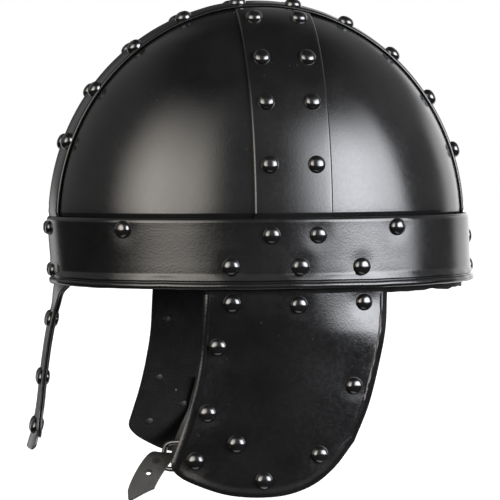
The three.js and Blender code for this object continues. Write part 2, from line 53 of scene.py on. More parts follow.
# Sizes in millimetres, most of them the solids' own
MM = 0.001
STEEL = 1.5
LEATHER = 2.0
INNER_GAP = 0.7
CROWN = Vector((96.5, 118.2, 124.0))
EQUATOR = 35.0
PLATE_FOOT = 6.0
PLATE_TO_RIDGE_MIDDLE = 12.0
PLATE_TO_SIDE_MIDDLE = 5.0
BAND_OUTER = 1.95
BAND_EDGE_ROUND = 0.00012
BAND_FOOT = 7.0
BAND_STEPS = (240, 100)
PLATE_STEPS = (200, 100)
PLATE_RUB = 0.6
SKIRT_STEPS = 8
RIDGE_HALF = 22.0
RIDGE_RIVETS = {"across": 17.0, "first": 21.7, "step": 15.5, "count": 10}
SIDE_HALF = 21.7
SIDE_MIDDLE = 5.6
SIDE_TOP = 10.0
SIDE_RIVETS = {"across": 12.8, "heights": (149.0, 125.7, 101.0, 67.0)}
EDGE_ROLL_WIDTH = 1.7
EDGE_ROLL_DROP = 1.05
EDGE_ROLL_LINES = (0.12, 0.3, 0.55, 0.9, 1.3, 1.75)
TUCK_TOP = 40.9
TUCK_FOOT = 37.5
TUCK_DEPTH = 0.85
TUCK_CURVE = 1.1
TUCK_LINES = (37.5, 39.0, 40.2, 40.9, 41.3, 42.5, 45.0)
CROSSING_MARGIN = 8.0
CROSSING_RAMP = 12.0
CROSSING_LIFT = 0.25
SIDE_DIP = {"start": 30.0, "run": 7.0, "depth": 1.2}
BROW_SIDE_RIVETS = (
    (-84.8, 32.4), (-7.2, 29.2), (18.4, 29.2), (64.7, 32.8), (-29.2, 12.5), (8.4, 12.2), (43.2, 11.8),
)
BROW_END_RIVETS = ((8.5, 32.0, -1), (8.5, 8.0, -1), (0.0, 24.7, 1), (0.0, 7.5, 1))
BROW_SHIFT = 1.7
BROW_SHEAR = 0.054
BROW_SHIFT_HEIGHT = 22.0
BROW_LEAN = 0.046
BROW_LEAN_REACH = (-13.4, 11.0)
BROW_STEPS = 360
BROW_WAVE = {"size": 0.11, "fade": (6.0, 8.0), "rise": 0.8}
DIMPLE_RADIUS = 10.5
DIMPLE_DEPTH = 0.32

# Section of the brow band from its hem up the outside and down the inside: offset, height
BROW_OUTSIDE = (
    (2.7, 0.45), (3.2, 0.2), (3.8, 0.3), (4.3, 0.65), (4.6, 1.2), (4.72, 1.8), (4.68, 2.4), (4.5, 2.95),
    (4.2, 3.35), (3.8, 3.55), (3.3, 3.7), (3.1, 4.1), (3.25, 4.5), (3.7, 4.75), (3.95, 4.9), (4.0, 5.1),
    (3.92, 5.4), (3.72, 6.2), (3.5, 7.0), (3.3, 7.7), (3.2, 8.1), (3.16, 8.5), (3.15, 9.2), (3.15, 11.6),
    (3.18, 14.0), (3.22, 16.5), (3.28, 19.0),
    (3.34, 21.5), (3.41, 24.0), (3.48, 26.5), (3.56, 29.0), (3.63, 31.5), (3.7, 34.0), (3.76, 35.9),
    (3.76, 36.3), (3.7, 36.75), (3.56, 37.25), (3.32, 37.75), (3.0, 38.15), (2.65, 38.4), (2.35, 38.5),
)
BROW_INSIDE = (
    (2.12, 38.4), (2.06, 38.0), (2.1, 36.0), (2.15, 30.0), (2.15, 24.0), (2.15, 17.0), (2.15, 11.0),
    (2.25, 5.0), (2.4, 1.2),
)
BROW_WALL_FOOT = 4.9
BROW_WALL = [row for row in reversed(BROW_OUTSIDE) if row[1] > BROW_WALL_FOOT]

# Nose guard: rows of height, half width and forward lean
NASAL_SECTIONS = (
    (37, 34, 0), (20, 34, 0), (5, 33, 0), (0, 27, 1.2), (-5, 18, 2.0), (-10, 14.3, 2.4), (-17, 12.4, 3.7),
    (-34, 11.6, 6.9), (-53, 11.3, 9.6), (-70, 11.8, 11.6), (-80, 14.4, 13.5), (-87, 18.4, 15.9),
    (-90.5, 19, 17.0), (-93, 14, 17.8),
)
NASAL_OUTER = -2.2
NASAL_EDGE_ROUND = 0.0007
NASAL_EDGE_STEPS = 4
NASAL_RUB = 0.7
NASAL_STEPS = (18, 110)
NASAL_TOP = 37.0
NASAL_END = -93.0
NASAL_FLAT_START = -6.0
NASAL_FLAT_DEPTH = 18.0
NASAL_TIP = (74.0, 86.0)
NASAL_RIVET_HEIGHTS = (-20.0, -53.0, -80.5)
NASAL_RIVET_ACROSS = 6.4
NASAL_KEYS = [row[0] for row in NASAL_SECTIONS]
NASAL_HALVES = [row[1] for row in NASAL_SECTIONS]
NASAL_LEANS = [row[2] for row in NASAL_SECTIONS]
BACKING_OUTER = -4.15
BACKING_TOP = 1.6
BACKING_END = -86.0
BACKING_INSET = 1.2

# Cheek guards, in their own plane of (y, z)
GUARD_TOP = -2.5
GUARD_MIDDLE = 6.0
GUARD_FLATNESS = 340.0
GUARD_FLAT_REACH = 95.0
GUARD_RIM_OFFSET = -0.1
GUARD_BLEND_START = -4.0
GUARD_BLEND_DEPTH = 36.0
GUARD_BACK_TUCK = 0.2
GUARD_LEAN = 0.026
GUARD_BULGE = {"out": 0.54, "z": -25.0, "spread": 14.0, "y": (2.0, 30.0)}
GUARD_LEAN_START = -24.0
GUARD_FRONT = ((-43, -2.5), (-44, -18), (-46, -42), (-52, -70), (-61, -97))
GUARD_BOTTOM = (
    (-61, -97), (-52, -104), (-30, -111.5), (-5, -112.5), (13.6, -107.6), (27.3, -97.8), (39, -83.6),
)
GUARD_BACK = ((59.0, -2.5), (57.9, -20), (54.4, -38), (47.8, -63), (39, -83.6))
GUARD_RIVETS = (
    (-28, -7.5), (8, -8.6), (45, -7.8), (-35.5, -31), (-41, -67), (-47.5, -93), (-25.6, -83.5), (-11, -103.5),
    (19.5, -90), (39, -53.3),
)
HANG = {
    1: {"forward": 0, "tilt": 0, "lift": 0, "swing": 0, "sag": 0},
    -1: {"forward": 7.8, "tilt": -1, "lift": 4.8, "swing": 8, "sag": 2.5},
}
GUARD_CENTRE = Vector((0, 0, -40))
GUARD_STEPS = 84
GUARD_OUTLINE_STEPS = 48
GUARD_RUB = 0.2
GUARD_CROWDING = {"edge": 0.055, "across": 0.17, "down": 0.085}
GUARD_PLAIN = (0.09, 0.91, 0.44)
ROLL = {
    "width": 4.2, "height": 1.3, "round": 0.65, "crest": 0.6, "sloped": (5, 25),
    "fade": (-80, -40), "low": 0.35,
}
CORNER_ROUND = 3.2
CORNER_SMOOTHING = {"reach": 3 * CORNER_ROUND, "times": 4, "factor": 0.5}
SAG_PLACE = {"down": (70, 100), "back": (-60, -36)}
HINGE_RISE = 22.0
HINGE_SHARE = 0.2
LINING_INSET = {1: 0.012, -1: -0.008}
LINING_STEPS = (48, 60)
LEATHER_EDGE = 0.0006
LEATHER_EDGE_STEPS = 3

# Liner band
LINER = {
    "top": 34.0, "front": 3.0, "back": -3.3, "wave": 0.375, "offset": -4.9, "dip": (-0.2, 0.6),
    "back_shift": 5.5, "shift_from": (0.3, 0.95), "middle": 15.0, "rows": 6, "steps": 240,
}

# Ripples of hand-worked rims: waves round the rim, start and size
BROW_RIPPLES = ((9, 0.7, 1.0), (23, 2.0, 0.7), (41, 0.4, 0.5))
LINER_RIPPLES = ((17, 0.0, 1.0), (29, 1.3, 0.6), (53, 0.4, 0.45))

# Chin strap and ring
STRAP_WIDTH = 13.4
SHORT_WIDTH = 10.0
STRAP_SEAT = STEEL + INNER_GAP + LEATHER + LEATHER / 2
LONG_FROM_LINING = 1.5
SHORT_FROM_LINING = 0.95
LONG_ON_LINING = ((-11, -69), (-14.5, -80), (-17.5, -89))
LONG_ACROSS_LINING = (0.94, -0.34)
LONG_FREE = (
    ((-82, -31, -98.5), (-0.12, 0.98, -0.15)),
    ((-54, -37.5, -105), (0, 1, 0)),
    ((-10, -38.5, -107.5), (0, 1, 0)),
    ((26, -41, -105), (0.12, 0.98, 0.05)),
    ((46, -47.5, -99.5), (0.38, 0.91, 0.1)),
    ((57.5, -55.5, -93), (0.43, 0.89, 0.12)),
    ((66, -63, -91.8), (0.43, 0.89, -0.1)),
    ((74, -70, -97.6), (0.42, 0.85, -0.31)),
    ((80, -75.8, -106), (0.42, 0.85, -0.31)),
    ((84, -79.3, -114.2), (0.42, 0.85, -0.31)),
)
RING_STATION = 4.2
RING = {"long": 12.8, "short": 8.0, "wire": 1.4, "square": 5.0, "above": 4.2, "steps": 72, "wire_steps": 16}
SHORT_ON_LINING = ((-8, -82), (-14, -82.5), (-20, -83))
SHORT_FOLD_OUT = ((14, 2.5), (8, 2.9), (3, 3.3))
SHORT_FOLD_BACK = ((4, -2.7), (9, -0.9), (15, -0.6))
SHORT_FOLD_RADIUS = 3.3
# Strap holes: distance of the first from the point, step, count, and how far round each hole the leather is
# drawn darker
STRAP_HOLES = {"first": 17.8, "step": 9.0, "count": 4, "dark_ring": 2.6}
HOLE_RADIUS = (1.5, 0.9)
STRAP_TIP = {"place": -0.62, "blunt": 0.12, "near": 5.0, "far": 10.0, "tail": 24.0}
STRAP_EDGE = 0.0005
STRAP_LOOK = 0.3
MAP_SCALE = 0.01

# Rivets
DOME_FULLNESS = 2.5
RIVET_ROOT = 0.7
RIVET_TILT = 0.02
RIVET_SEED = 11
HEAD_STEPS = (28, 9)
TAIL_STEPS = (18, 5)
BROW_FRONT = -0.9
BROW_FRONT_RIVETS = (0.8, 0.7)
NOSE_RIVET_WIDTH = 0.96
NOSE_TAILS = (0.9, 1.5)

# Camera and stage, in metres
CAMERA_PLACE = Vector((1.3345, -0.204, 0.06888))
CAMERA_RIGHT = Vector((0.1511, 0.9885, 0.0))
CAMERA_FORWARD = Vector((-0.98852, 0.15109, 0.0))
CAMERA_AIM = (-0.003025, -0.03792)
CAMERA_ROLL = math.radians(0.37)
CAMERA_LENS = 168.4
CAMERA_SENSOR = 36.0
FLOOR_DEPTH = -0.17
FLOOR_HALF = 12.0
FLOOR_GLOW = 0.35

# Studio light by its direction from the helmet, in degrees
LEFT_BOX = {
    "turn": ((-80, -46), (-24, -7)), "rise": ((-8, 1), (14, 58)), "power": 7.2,
    "foot": (-9, 8), "fade": (-46, -18, 0.62),
}
RIGHT_BOX = {
    "turn": ((18, 52), (77, 88)), "rise": ((-5, 4), (20, 47)), "power": 16.0,
    "foot": (-7, -7), "fade": (57, 78, 0.62),
}
FOOT_RISE = (5, -4)
LEFT_LIGHT = (1.0, 0.94, 0.86)
RIGHT_LIGHT = (0.95, 0.97, 1.02)
BACKDROP = {"middle": 149.0, "turn": (30, 16), "rise": (26, 12), "power": 1.4}
ROOM = {"power": 0.27, "low": (-7, 7), "high": (66, 40), "least": 0.025, "gloom": (-150, -164, 1.0, 0.15)}
UNDER = {"rise": (-58, -72), "power": 0.8}
SWEEP = {"turn": (-133, -139), "fade": (-146, -167, 0.04), "rise": (5, -1), "power": 1.0}

SIDES = (("left", 1), ("right", -1))


def length_property(name, description, default):
    return FloatProperty(name=name, description=description, default=default, unit="LENGTH")


def colour_property(name, description, default):
    return FloatVectorProperty(name=name, description=description, default=default, subtype="COLOR")


def gloss_property(name, description, default):
    return FloatProperty(
        name=name, description=description, default=default, min=0.0, max=1.0, subtype="FACTOR",
    )


class HelmetSizes(bpy.types.PropertyGroup):
    """Sizes that a maker would change without changing the frame."""

    edge_round: length_property("Edge rounding", "Rounding of sheet edges", 0.00045)
    rivet_radius: length_property("Rivet radius", "Radius of the domed rivet heads", 0.0049)
    rivet_height: length_property("Rivet height", "Height of the domed rivet heads", 0.0036)
    nose_rivet_height: length_property("Nose rivet height", "Height of the flatter nose rivets", 0.0024)
    tail_radius: length_property("Rivet tail radius", "Radius of the peened tails inside", 0.0026)
    tail_height: length_property("Rivet tail height", "Height of the peened tails inside", 0.0008)


class HelmetFinish(bpy.types.PropertyGroup):
    """Colours and gloss of the helmet's finishes."""

    paint: colour_property("Paint", "Black enamel on the steel", (0.0055, 0.0055, 0.0058))
    rubbed: colour_property("Rubbed edge", "Paint worn thin along edges", (0.055, 0.054, 0.053))
    paint_roughness: gloss_property("Paint roughness", "Gloss of the enamel", 0.17)
    rivet_roughness: gloss_property("Rivet roughness", "Gloss of the rivet heads", 0.09)
    lining: colour_property("Lining leather", "Black leather of linings", (0.0026, 0.0025, 0.0024))
    strap: colour_property("Strap leather", "Worn grey-brown leather", (0.027, 0.0258, 0.0238))


# Plain sums

def clamp(value, low=0.0, high=1.0):
    return min(max(value, low), high)


def mix(first, second, share):
    return first + (second - first) * share


def smoothstep(value, low, high):
    share = clamp((value - low) / (high - low))
    return share * share * (3.0 - 2.0 * share)


def table_value(keys, values, key):
    """Read a smooth value from a table whose keys fall; its curve never overshoots the rows."""
    if key >= keys[0]:
        return values[0]
    if key <= keys[-1]:
        return values[-1]
    row = next(i for i in range(len(keys) - 1) if keys[i + 1] <= key)
    slopes = [(values[i + 1] - values[i]) / (keys[i + 1] - keys[i]) for i in range(len(keys) - 1)]

    def tangent(i):
        if i == 0 or i == len(keys) - 1:
            return slopes[min(i, len(slopes) - 1)]
        before, after = slopes[i - 1], slopes[i]
        return 0.0 if before * after <= 0 else 2 * before * after / (before + after)

    width = keys[row + 1] - keys[row]
    share = (key - keys[row]) / width
    square, cube = share * share, share ** 3
    return (
        (2 * cube - 3 * square + 1) * values[row] + (cube - 2 * square + share) * width * tangent(row)
        + (3 * square - 2 * cube) * values[row + 1] + (cube - square) * width * tangent(row + 1)
    )


class EvenCurve:
    """A smooth curve through points, read by its share of the length."""

    def __init__(self, points, tightness, samples=40):
        points = [Vector(point) for point in points]
        ends = [points[0] * 2 - points[1]] + points + [points[-1] * 2 - points[-2]]
        self.places = []
        for i in range(1, len(ends) - 2):
            for j in range(samples):
                self.places.append(self.between(ends[i - 1:i + 3], j / samples, tightness))
        self.places.append(points[-1].copy())
        self.marks = [0.0]
        for before, after in zip(self.places, self.places[1:]):
            self.marks.append(self.marks[-1] + (after - before).length)
        self.samples = samples

    @staticmethod
    def between(four, share, tightness):
        gaps = [max((b - a).length, 1e-6) ** tightness for a, b in zip(four, four[1:])]
        lead = (four[1] - four[0]) / gaps[0] - (four[2] - four[0]) / (gaps[0] + gaps[1])
        lead += (four[2] - four[1]) / gaps[1]
        trail = (four[2] - four[1]) / gaps[1] - (four[3] - four[1]) / (gaps[1] + gaps[2])
        trail += (four[3] - four[2]) / gaps[2]
        lead *= gaps[1]
        trail *= gaps[1]
        square, cube = share * share, share ** 3
        return (
            four[1] * (2 * cube - 3 * square + 1) + lead * (cube - 2 * square + share)
            + four[2] * (3 * square - 2 * cube) + trail * (cube - square)
        )

    @property
    def length(self):
        return self.marks[-1]

    def mark(self, station):
        """Length from the start to a station, which may be a part number."""
        place = station * self.samples
        low = int(min(place, len(self.marks) - 2))
        return mix(self.marks[low], self.marks[low + 1], place - low)

    def station(self, run):
        """Station, with its part, at a length from the start."""
        low, high = 0, len(self.marks) - 1
        while high - low > 1:
            middle = (low + high) // 2
            if self.marks[middle] <= run:
                low = middle
            else:
                high = middle
        share = (run - self.marks[low]) / (self.marks[low + 1] - self.marks[low])
        return (low + share) / self.samples

    def at_station(self, station):
        place = station * self.samples
        low = int(min(max(place, 0), len(self.places) - 2))
        return self.places[low].lerp(self.places[low + 1], place - low)

    def at(self, run):
        return self.at_station(self.station(run))

    def share(self, share):
        return self.at(share * self.length)


# Mesh steps

def score(bm, point, normal, drop=False):
    """Cut a line across the sheet at a plane."""
    geometry = bm.verts[:] + bm.edges[:] + bm.faces[:]
    bmesh.ops.bisect_plane(bm, geom=geometry, dist=1e-5, plane_co=point, plane_no=normal, clear_outer=drop)


def keep_inside(bm, point, outward):
    """Cut the mesh at a plane and drop what lies on its outward side."""
    score(bm, point, outward, True)


def face_out(bm, centre):
    """Point the faces of an open sheet away from a centre."""
    bmesh.ops.recalc_face_normals(bm, faces=bm.faces)
    bm.normal_update()
    outward = 0.0
    for face in bm.faces:
        outward += (face.calc_center_median() - centre).dot(face.normal) * face.calc_area()
    if outward < 0:
        bmesh.ops.reverse_faces(bm, faces=bm.faces)


def ellipsoid(bm, pole, offset, around, along):
    """The crown's round form, its poles on the named axis."""
    bmesh.ops.create_uvsphere(bm, u_segments=around, v_segments=along, radius=1.0)
    if pole != "Z":
        quarter = Matrix.Rotation(math.pi / 2, 3, "Y" if pole == "X" else "X")
        bmesh.ops.rotate(bm, verts=bm.verts, cent=(0, 0, 0), matrix=quarter)
    bmesh.ops.scale(bm, vec=CROWN + Vector((offset, offset, offset)), verts=bm.verts)
    bmesh.ops.translate(bm, vec=(0, 0, EQUATOR), verts=bm.verts)


def drop_skirt(bm, foot):
    """Carry the sheet straight down from the crown's widest level to its foot."""
    step = (EQUATOR - foot) / SKIRT_STEPS
    level = EQUATOR
    for _ in range(SKIRT_STEPS):
        rim = [
            edge for edge in bm.edges
            if edge.is_boundary and all(abs(vert.co.z - level) < 1e-3 for vert in edge.verts)
        ]
        made = bmesh.ops.extrude_edge_only(bm, edges=rim)
        fresh = [item for item in made["geom"] if isinstance(item, bmesh.types.BMVert)]
        bmesh.ops.translate(bm, vec=(0, 0, -step), verts=fresh)
        level -= step


def tuck_foot(bm):
    """Turn the crown in a little just above the brow band, where it meets the lip."""
    for height in TUCK_LINES:
        score(bm, (0, 0, height), (0, 0, 1))
    for vert in bm.verts:
        if vert.co.z < TUCK_TOP:
            fall = TUCK_TOP - max(vert.co.z, TUCK_FOOT)
            vert.co -= crown_normal(vert.co) * TUCK_DEPTH * (fall / (TUCK_TOP - TUCK_FOOT)) ** TUCK_CURVE


def roll_edge(bm, gap):
    """Round the outer corner along a band's long edges; gap gives a vertex's distance from them."""
    layer = bm.verts.layers.deform.verify()
    for vert in bm.verts:
        share = clamp(1 - gap(vert.co) / EDGE_ROLL_WIDTH)
        drop = EDGE_ROLL_DROP * (1 - math.sqrt(1 - share * share))
        vert.co -= crown_normal(vert.co) * drop
        vert[layer][0] = 1 - drop / STEEL


def spin_round(bm, section, steps):
    """Spin a section once round the upright axis and close its seam."""
    bmesh.ops.spin(
        bm, geom=section, cent=(0, 0, 0), axis=(0, 0, 1), angle=2 * math.pi, steps=steps, use_merge=True,
    )
    bmesh.ops.remove_doubles(bm, verts=bm.verts, dist=1e-4)


def ripple(turn, waves):
    """Unevenness of a hand-worked rim at a turn round it."""
    return sum(size * math.sin(count * turn + start) for count, start, size in waves)


def shaped_grid(bm, columns, rows, place):
    """Lay a grid over the unit square and carry each corner to its place."""
    made = bmesh.ops.create_grid(bm, x_segments=columns, y_segments=rows, size=0.5)
    for vert in made["verts"]:
        vert.co = place(vert.co.x + 0.5, vert.co.y + 0.5)
    return made["verts"]


def crowd_edges(share, edge, part):
    """Remap a share so that a part of the steps falls within the edge at each end."""
    if share < part:
        return share / part * edge
    if share > 1 - part:
        return 1 - (1 - share) / part * edge
    return mix(edge, 1 - edge, (share - part) / (1 - 2 * part))


def mark_rub(bm, amount=1.0):
    """Give the open edges of a sheet some rub and the rest none."""
    layer = bm.verts.layers.float.new("rub")
    for vert in bm.verts:
        vert[layer] = amount if vert.is_boundary else 0.0


def dimple(away):
    """How far a sheet is pressed in at a distance from a rivet's middle."""
    share = clamp(1 - (away / DIMPLE_RADIUS) ** 2)
    return DIMPLE_DEPTH * share * share


def make_piece(bm, name, material, nodes=()):
    """Turn a mesh in millimetres into a piece that rides on the helmet."""
    bmesh.ops.scale(bm, vec=(MM, MM, MM), verts=bm.verts)
    for face in bm.faces:
        face.smooth = True
    mesh = bpy.data.meshes.new(name)
    bm.to_mesh(mesh)
    bm.free()
    mesh.materials.append(material)
    piece = bpy.data.objects.new(name, mesh)
    bpy.context.scene.collection.objects.link(piece)
    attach(piece, "root")
    if nodes:
        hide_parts(*nodes)
    return piece


def thicken(piece, thickness, offset, edge_round, segments=2, thinned=False):
    """Give a sheet its thickness and rounded edges; a thinned sheet has its own shares of thickness."""
    wall = piece.modifiers.new("wall", "SOLIDIFY")
    if thinned:
        wall.vertex_group = piece.vertex_groups.new(name="wall").name
    wall.thickness = thickness * MM
    wall.offset = offset
    wall.use_even_offset = True
    wall.use_rim = True
    edge = piece.modifiers.new("edge", "BEVEL")
    edge.width = edge_round
    edge.segments = segments
    edge.profile = 0.5
    edge.limit_method = "ANGLE"
    edge.angle_limit = math.radians(50)
    edge.harden_normals = True
    edge.use_clamp_overlap = True


# Places on the helmet

def crown_normal(point):
    """Outward direction of the crown at a point; level below the crown's widest part."""
    rise = max(point.z - EQUATOR, 0.0)
    return Vector((point.x / CROWN.x ** 2, point.y / CROWN.y ** 2, rise / CROWN.z ** 2)).normalized()


def crossing_lift(y):
    """How far the ridge band rises to pass over the side bands."""
    beyond = abs(y - SIDE_MIDDLE) - SIDE_HALF - CROSSING_MARGIN
    return CROSSING_LIFT * (1 - smoothstep(beyond, 0, CROSSING_RAMP))


def ridge_point(x, turn, offset):
    shrink = math.sqrt(1 - (x / (CROWN.x + offset)) ** 2)
    y = -(CROWN.y + offset) * shrink * math.cos(turn)
    z = EQUATOR + (CROWN.z + offset) * shrink * math.sin(turn)
    point = Vector((x, y, z))
    return point + crown_normal(point) * crossing_lift(y)


def side_point(side, y, height, offset):
    shrink = math.sqrt(1 - (y / (CROWN.y + offset)) ** 2)
    rise = clamp((height - EQUATOR) / ((CROWN.z + offset) * shrink), 0, 1)
    x = (CROWN.x + offset) * shrink * math.sqrt(1 - rise * rise)
    return Vector((side * x, y, height))


def brow_shift(z):
    """How far back the band lies at a height; it leans a little."""
    return BROW_SHIFT + BROW_SHEAR * (BROW_SHIFT_HEIGHT - z)


def brow_lean(z):
    """How far out the band's sides lie at a height; they face up a little."""
    return BROW_LEAN * clamp(BROW_SHIFT_HEIGHT - z, *BROW_LEAN_REACH)


def brow_point(turn, z):
    """Point on the wall of the brow band."""
    offset = table_value([row[1] for row in BROW_WALL], [row[0] for row in BROW_WALL], z)
    across = (CROWN.x + offset + brow_lean(z)) * math.cos(turn)
    return Vector((across, (CROWN.y + offset) * math.sin(turn) + brow_shift(z), z))


def brow_seats():
    """Places and outward directions of the brow band's rivets."""
    turns = []
    for y, z in BROW_SIDE_RIVETS:
        turn = math.asin((y - brow_shift(z)) / (CROWN.y + BROW_WALL[-1][0]))
        turns += [(turn, z), (math.pi - turn, z)]
    for x, z, end in BROW_END_RIVETS:
        turn = end * math.acos(x / (CROWN.x + BROW_WALL[-1][0]))
        turns += [(turn, z), (math.pi - turn, z)] if x > 0 else [(turn, z)]
    for turn, z in turns:
        level = Vector((CROWN.x * math.cos(turn), CROWN.y * math.sin(turn), 0))
        yield brow_point(turn, z), crown_normal(level)


def nasal_point(x, z, offset):
    """Point of the nose guard: it leans forward and is flat below the rim, and its tip is curved."""
    round_off = 1 - math.sqrt(1 - (x / (CROWN.x + offset)) ** 2)
    flat = smoothstep(NASAL_FLAT_START - z, 0, NASAL_FLAT_DEPTH) * (1 - smoothstep(-z, *NASAL_TIP))
    reach = (CROWN.y + offset) * (1 - round_off * (1 - flat))
    return Vector((x, -reach - table_value(NASAL_KEYS, NASAL_LEANS, z), z))


FRONT_EDGE = EvenCurve(GUARD_FRONT, 1e-6)
BOTTOM_EDGE = EvenCurve(GUARD_BOTTOM, 1e-6)
BACK_EDGE = EvenCurve(GUARD_BACK, 1e-6)


def guard_place(u, v):
    """Place in the guard's plane: u from the front edge to the back, v from the top edge down."""
    top = FRONT_EDGE.share(0).lerp(BACK_EDGE.share(0), u)
    chord = BOTTOM_EDGE.share(0).lerp(BOTTOM_EDGE.share(1), u)
    across = FRONT_EDGE.share(v).lerp(BACK_EDGE.share(v), u)
    down = top.lerp(BOTTOM_EDGE.share(u), v)
    return across + down - top.lerp(chord, v)


def round_corner(place):
    """Round off the guard's front lower corner."""
    corner = Vector(GUARD_FRONT[-1])
    up = (Vector(GUARD_FRONT[-2]) - corner).normalized()
    back = (Vector(GUARD_BOTTOM[1]) - corner).normalized()
    skew = Matrix(((up.x, back.x), (up.y, back.y)))
    local = skew.inverted() @ (place - corner)
    gap = Vector((CORNER_ROUND - local.x, CORNER_ROUND - local.y))
    if min(gap) <= 0 or gap.length < 1e-6:
        return place
    local = Vector((CORNER_ROUND, CORNER_ROUND)) - gap * (max(gap) / gap.length)
    return corner + skew @ local


def guard_reach(y, z):
    """How far out the guard's face stands: it follows the rim at the top and is flatter below."""
    rim = (CROWN.x + GUARD_RIM_OFFSET) * math.sqrt(1 - (y / (CROWN.y + GUARD_RIM_OFFSET)) ** 2)
    flat = GUARD_FLAT_REACH - (y - GUARD_MIDDLE) ** 2 / GUARD_FLATNESS
    flat -= max(flat - rim, 0) * GUARD_BACK_TUCK
    lean = GUARD_LEAN * max(GUARD_LEAN_START - z, 0)
    bulge = GUARD_BULGE["out"] * math.exp(-((z - GUARD_BULGE["z"]) / GUARD_BULGE["spread"]) ** 2)
    bulge *= smoothstep(y, *GUARD_BULGE["y"])
    return mix(rim, flat, smoothstep(GUARD_BLEND_START - z, 0, GUARD_BLEND_DEPTH)) - lean + bulge


def turn_about(point, centre, angle):
    away = point - centre
    cosine, sine = math.cos(angle), math.sin(angle)
    return centre + Vector((away.x * cosine - away.y * sine, away.x * sine + away.y * cosine))


def hung_point(side, y, z, inwards):
    """Hang a place of the guard's plane on its side of the helmet, inwards from the outer face."""
    hang = HANG[side]
    sag = hang["sag"] * smoothstep(-z, *SAG_PLACE["down"]) * smoothstep(y, *SAG_PLACE["back"])
    hung = turn_about(Vector((y, z - sag)), Vector((GUARD_MIDDLE, 0)), -math.radians(hang["tilt"]))
    hung_y = hung.x - hang["forward"]
    place = Vector((guard_reach(hung_y, hung.y) - inwards, hung.y + hang["lift"]))
    if z <= GUARD_TOP:
        hinge = Vector((guard_reach(hung_y, GUARD_TOP), GUARD_TOP))
        place = turn_about(place, hinge, math.radians(hang["swing"]))
    return Vector((side * place.x, hung_y, place.y))


def guard_seat(side, y, z, inwards, outward):
    """Point and outward direction on a guard."""
    point = hung_point(side, y, z, inwards)
    along = hung_point(side, y + 1, z, inwards) - point
    down = hung_point(side, y, z - 1, inwards) - point
    normal = along.cross(down).normalized()
    if normal.x * side * outward < 0:
        normal.negate()
    return point, normal


class StrapLine:
    """A flat strap's middle line with its width and upward directions."""

    def __init__(self, stations):
        self.line = EvenCurve([at for at, _ in stations], 0.5)
        self.turns = EvenCurve([across for _, across in stations], 0.5)

    def frame(self, run):
        run = clamp(run, 0.0, self.line.length)
        ahead = self.line.at(min(run + STRAP_LOOK, self.line.length))
        behind = self.line.at(max(run - STRAP_LOOK, 0.0))
        along = (ahead - behind).normalized()
        across = self.turns.at_station(self.line.station(run))
        across = (across - along * across.dot(along)).normalized()
        return self.line.at(run), across, along.cross(across)


def long_strap_line():
    inwards = STRAP_SEAT + LONG_FROM_LINING
    stations = []
    for y, z in LONG_ON_LINING:
        at = hung_point(-1, y, z, inwards)
        beside = hung_point(-1, y + LONG_ACROSS_LINING[0], z + LONG_ACROSS_LINING[1], inwards)
        stations.append((at, beside - at))
    stations += [(Vector(at), Vector(across)) for at, across in LONG_FREE]
    return StrapLine(stations)


def ring_frame(strap):
    """Middle of the ring with its long, short and through directions."""
    run = strap.line.mark(len(LONG_ON_LINING) + RING_STATION)
    middle, across, up = strap.frame(run)
    through = across.cross(up).normalized()
    guard_end = hung_point(1, *SHORT_ON_LINING[-1], 2 * (STEEL + LEATHER))
    centre = middle + up * RING["above"]
    long = guard_end - centre
    long = (long - through * long.dot(through)).normalized()
    return centre, long, through.cross(long), through


def short_strap_line(ring):
    centre, long, short, _ = ring
    on_lining = [hung_point(1, y, z, STRAP_SEAT + SHORT_FROM_LINING) for y, z in SHORT_ON_LINING]
    eye = centre + long * RING["long"]
    along = on_lining[-1] - eye
    along = (along - short * along.dot(short)).normalized()
    over = along.cross(short)
    turn = [
        (SHORT_FOLD_RADIUS * math.cos(math.radians(angle)), SHORT_FOLD_RADIUS * math.sin(math.radians(angle)))
        for angle in range(90, 271, 30)
    ]
    places = (*SHORT_FOLD_OUT, *turn, *SHORT_FOLD_BACK)
    fold = [eye + along * reach + over * height for reach, height in places]
    upright = Vector((0, 0, math.copysign(1, short.z)))
    return StrapLine([(point, upright) for point in on_lining] + [(point, short) for point in fold])


# Shader steps

def add_node(tree, kind, **settings):
    node = tree.nodes.new(kind)
    for key, value in settings.items():
        setattr(node, key, value)
    return node


def feed(tree, socket, value):
    """Link an output to a socket, or set the socket to a plain value."""
    if isinstance(value, bpy.types.NodeSocket):
        tree.links.new(value, socket)
    else:
        socket.default_value = value


def sums(tree, operation, *values):
    node = add_node(tree, "ShaderNodeMath", operation=operation)
    for socket, value in zip(node.inputs, values):
        feed(tree, socket, value)
    return node.outputs[0]


def times(tree, first, *others):
    """Multiply values, one after another."""
    for other in others:
        first = sums(tree, "MULTIPLY", first, other)
    return first


def as_colour(tree, levels):
    """A colour from its red, green and blue levels."""
    node = add_node(tree, "ShaderNodeCombineColor")
    for socket, level in zip(node.inputs[:3], levels):
        feed(tree, socket, level)
    return node.outputs["Color"]


def object_place(tree):
    return add_node(tree, "ShaderNodeTexCoord").outputs["Object"]


def blend_colour(tree, share, first, second, kind="MIX"):
    node = add_node(tree, "ShaderNodeMix", data_type="RGBA", blend_type=kind)
    feed(tree, node.inputs["Factor"], share)
    feed(tree, node.inputs["A"], first)
    feed(tree, node.inputs["B"], second)
    return node.outputs["Result"]


def ramp(tree, value, low, high, start=0.0, end=1.0, kind="SMOOTHSTEP"):
    node = add_node(tree, "ShaderNodeMapRange", interpolation_type=kind)
    labels = ("Value", "From Min", "From Max", "To Min", "To Max")
    for label, part in zip(labels, (value, low, high, start, end)):
        feed(tree, node.inputs[label], part)
    return node.outputs["Result"]


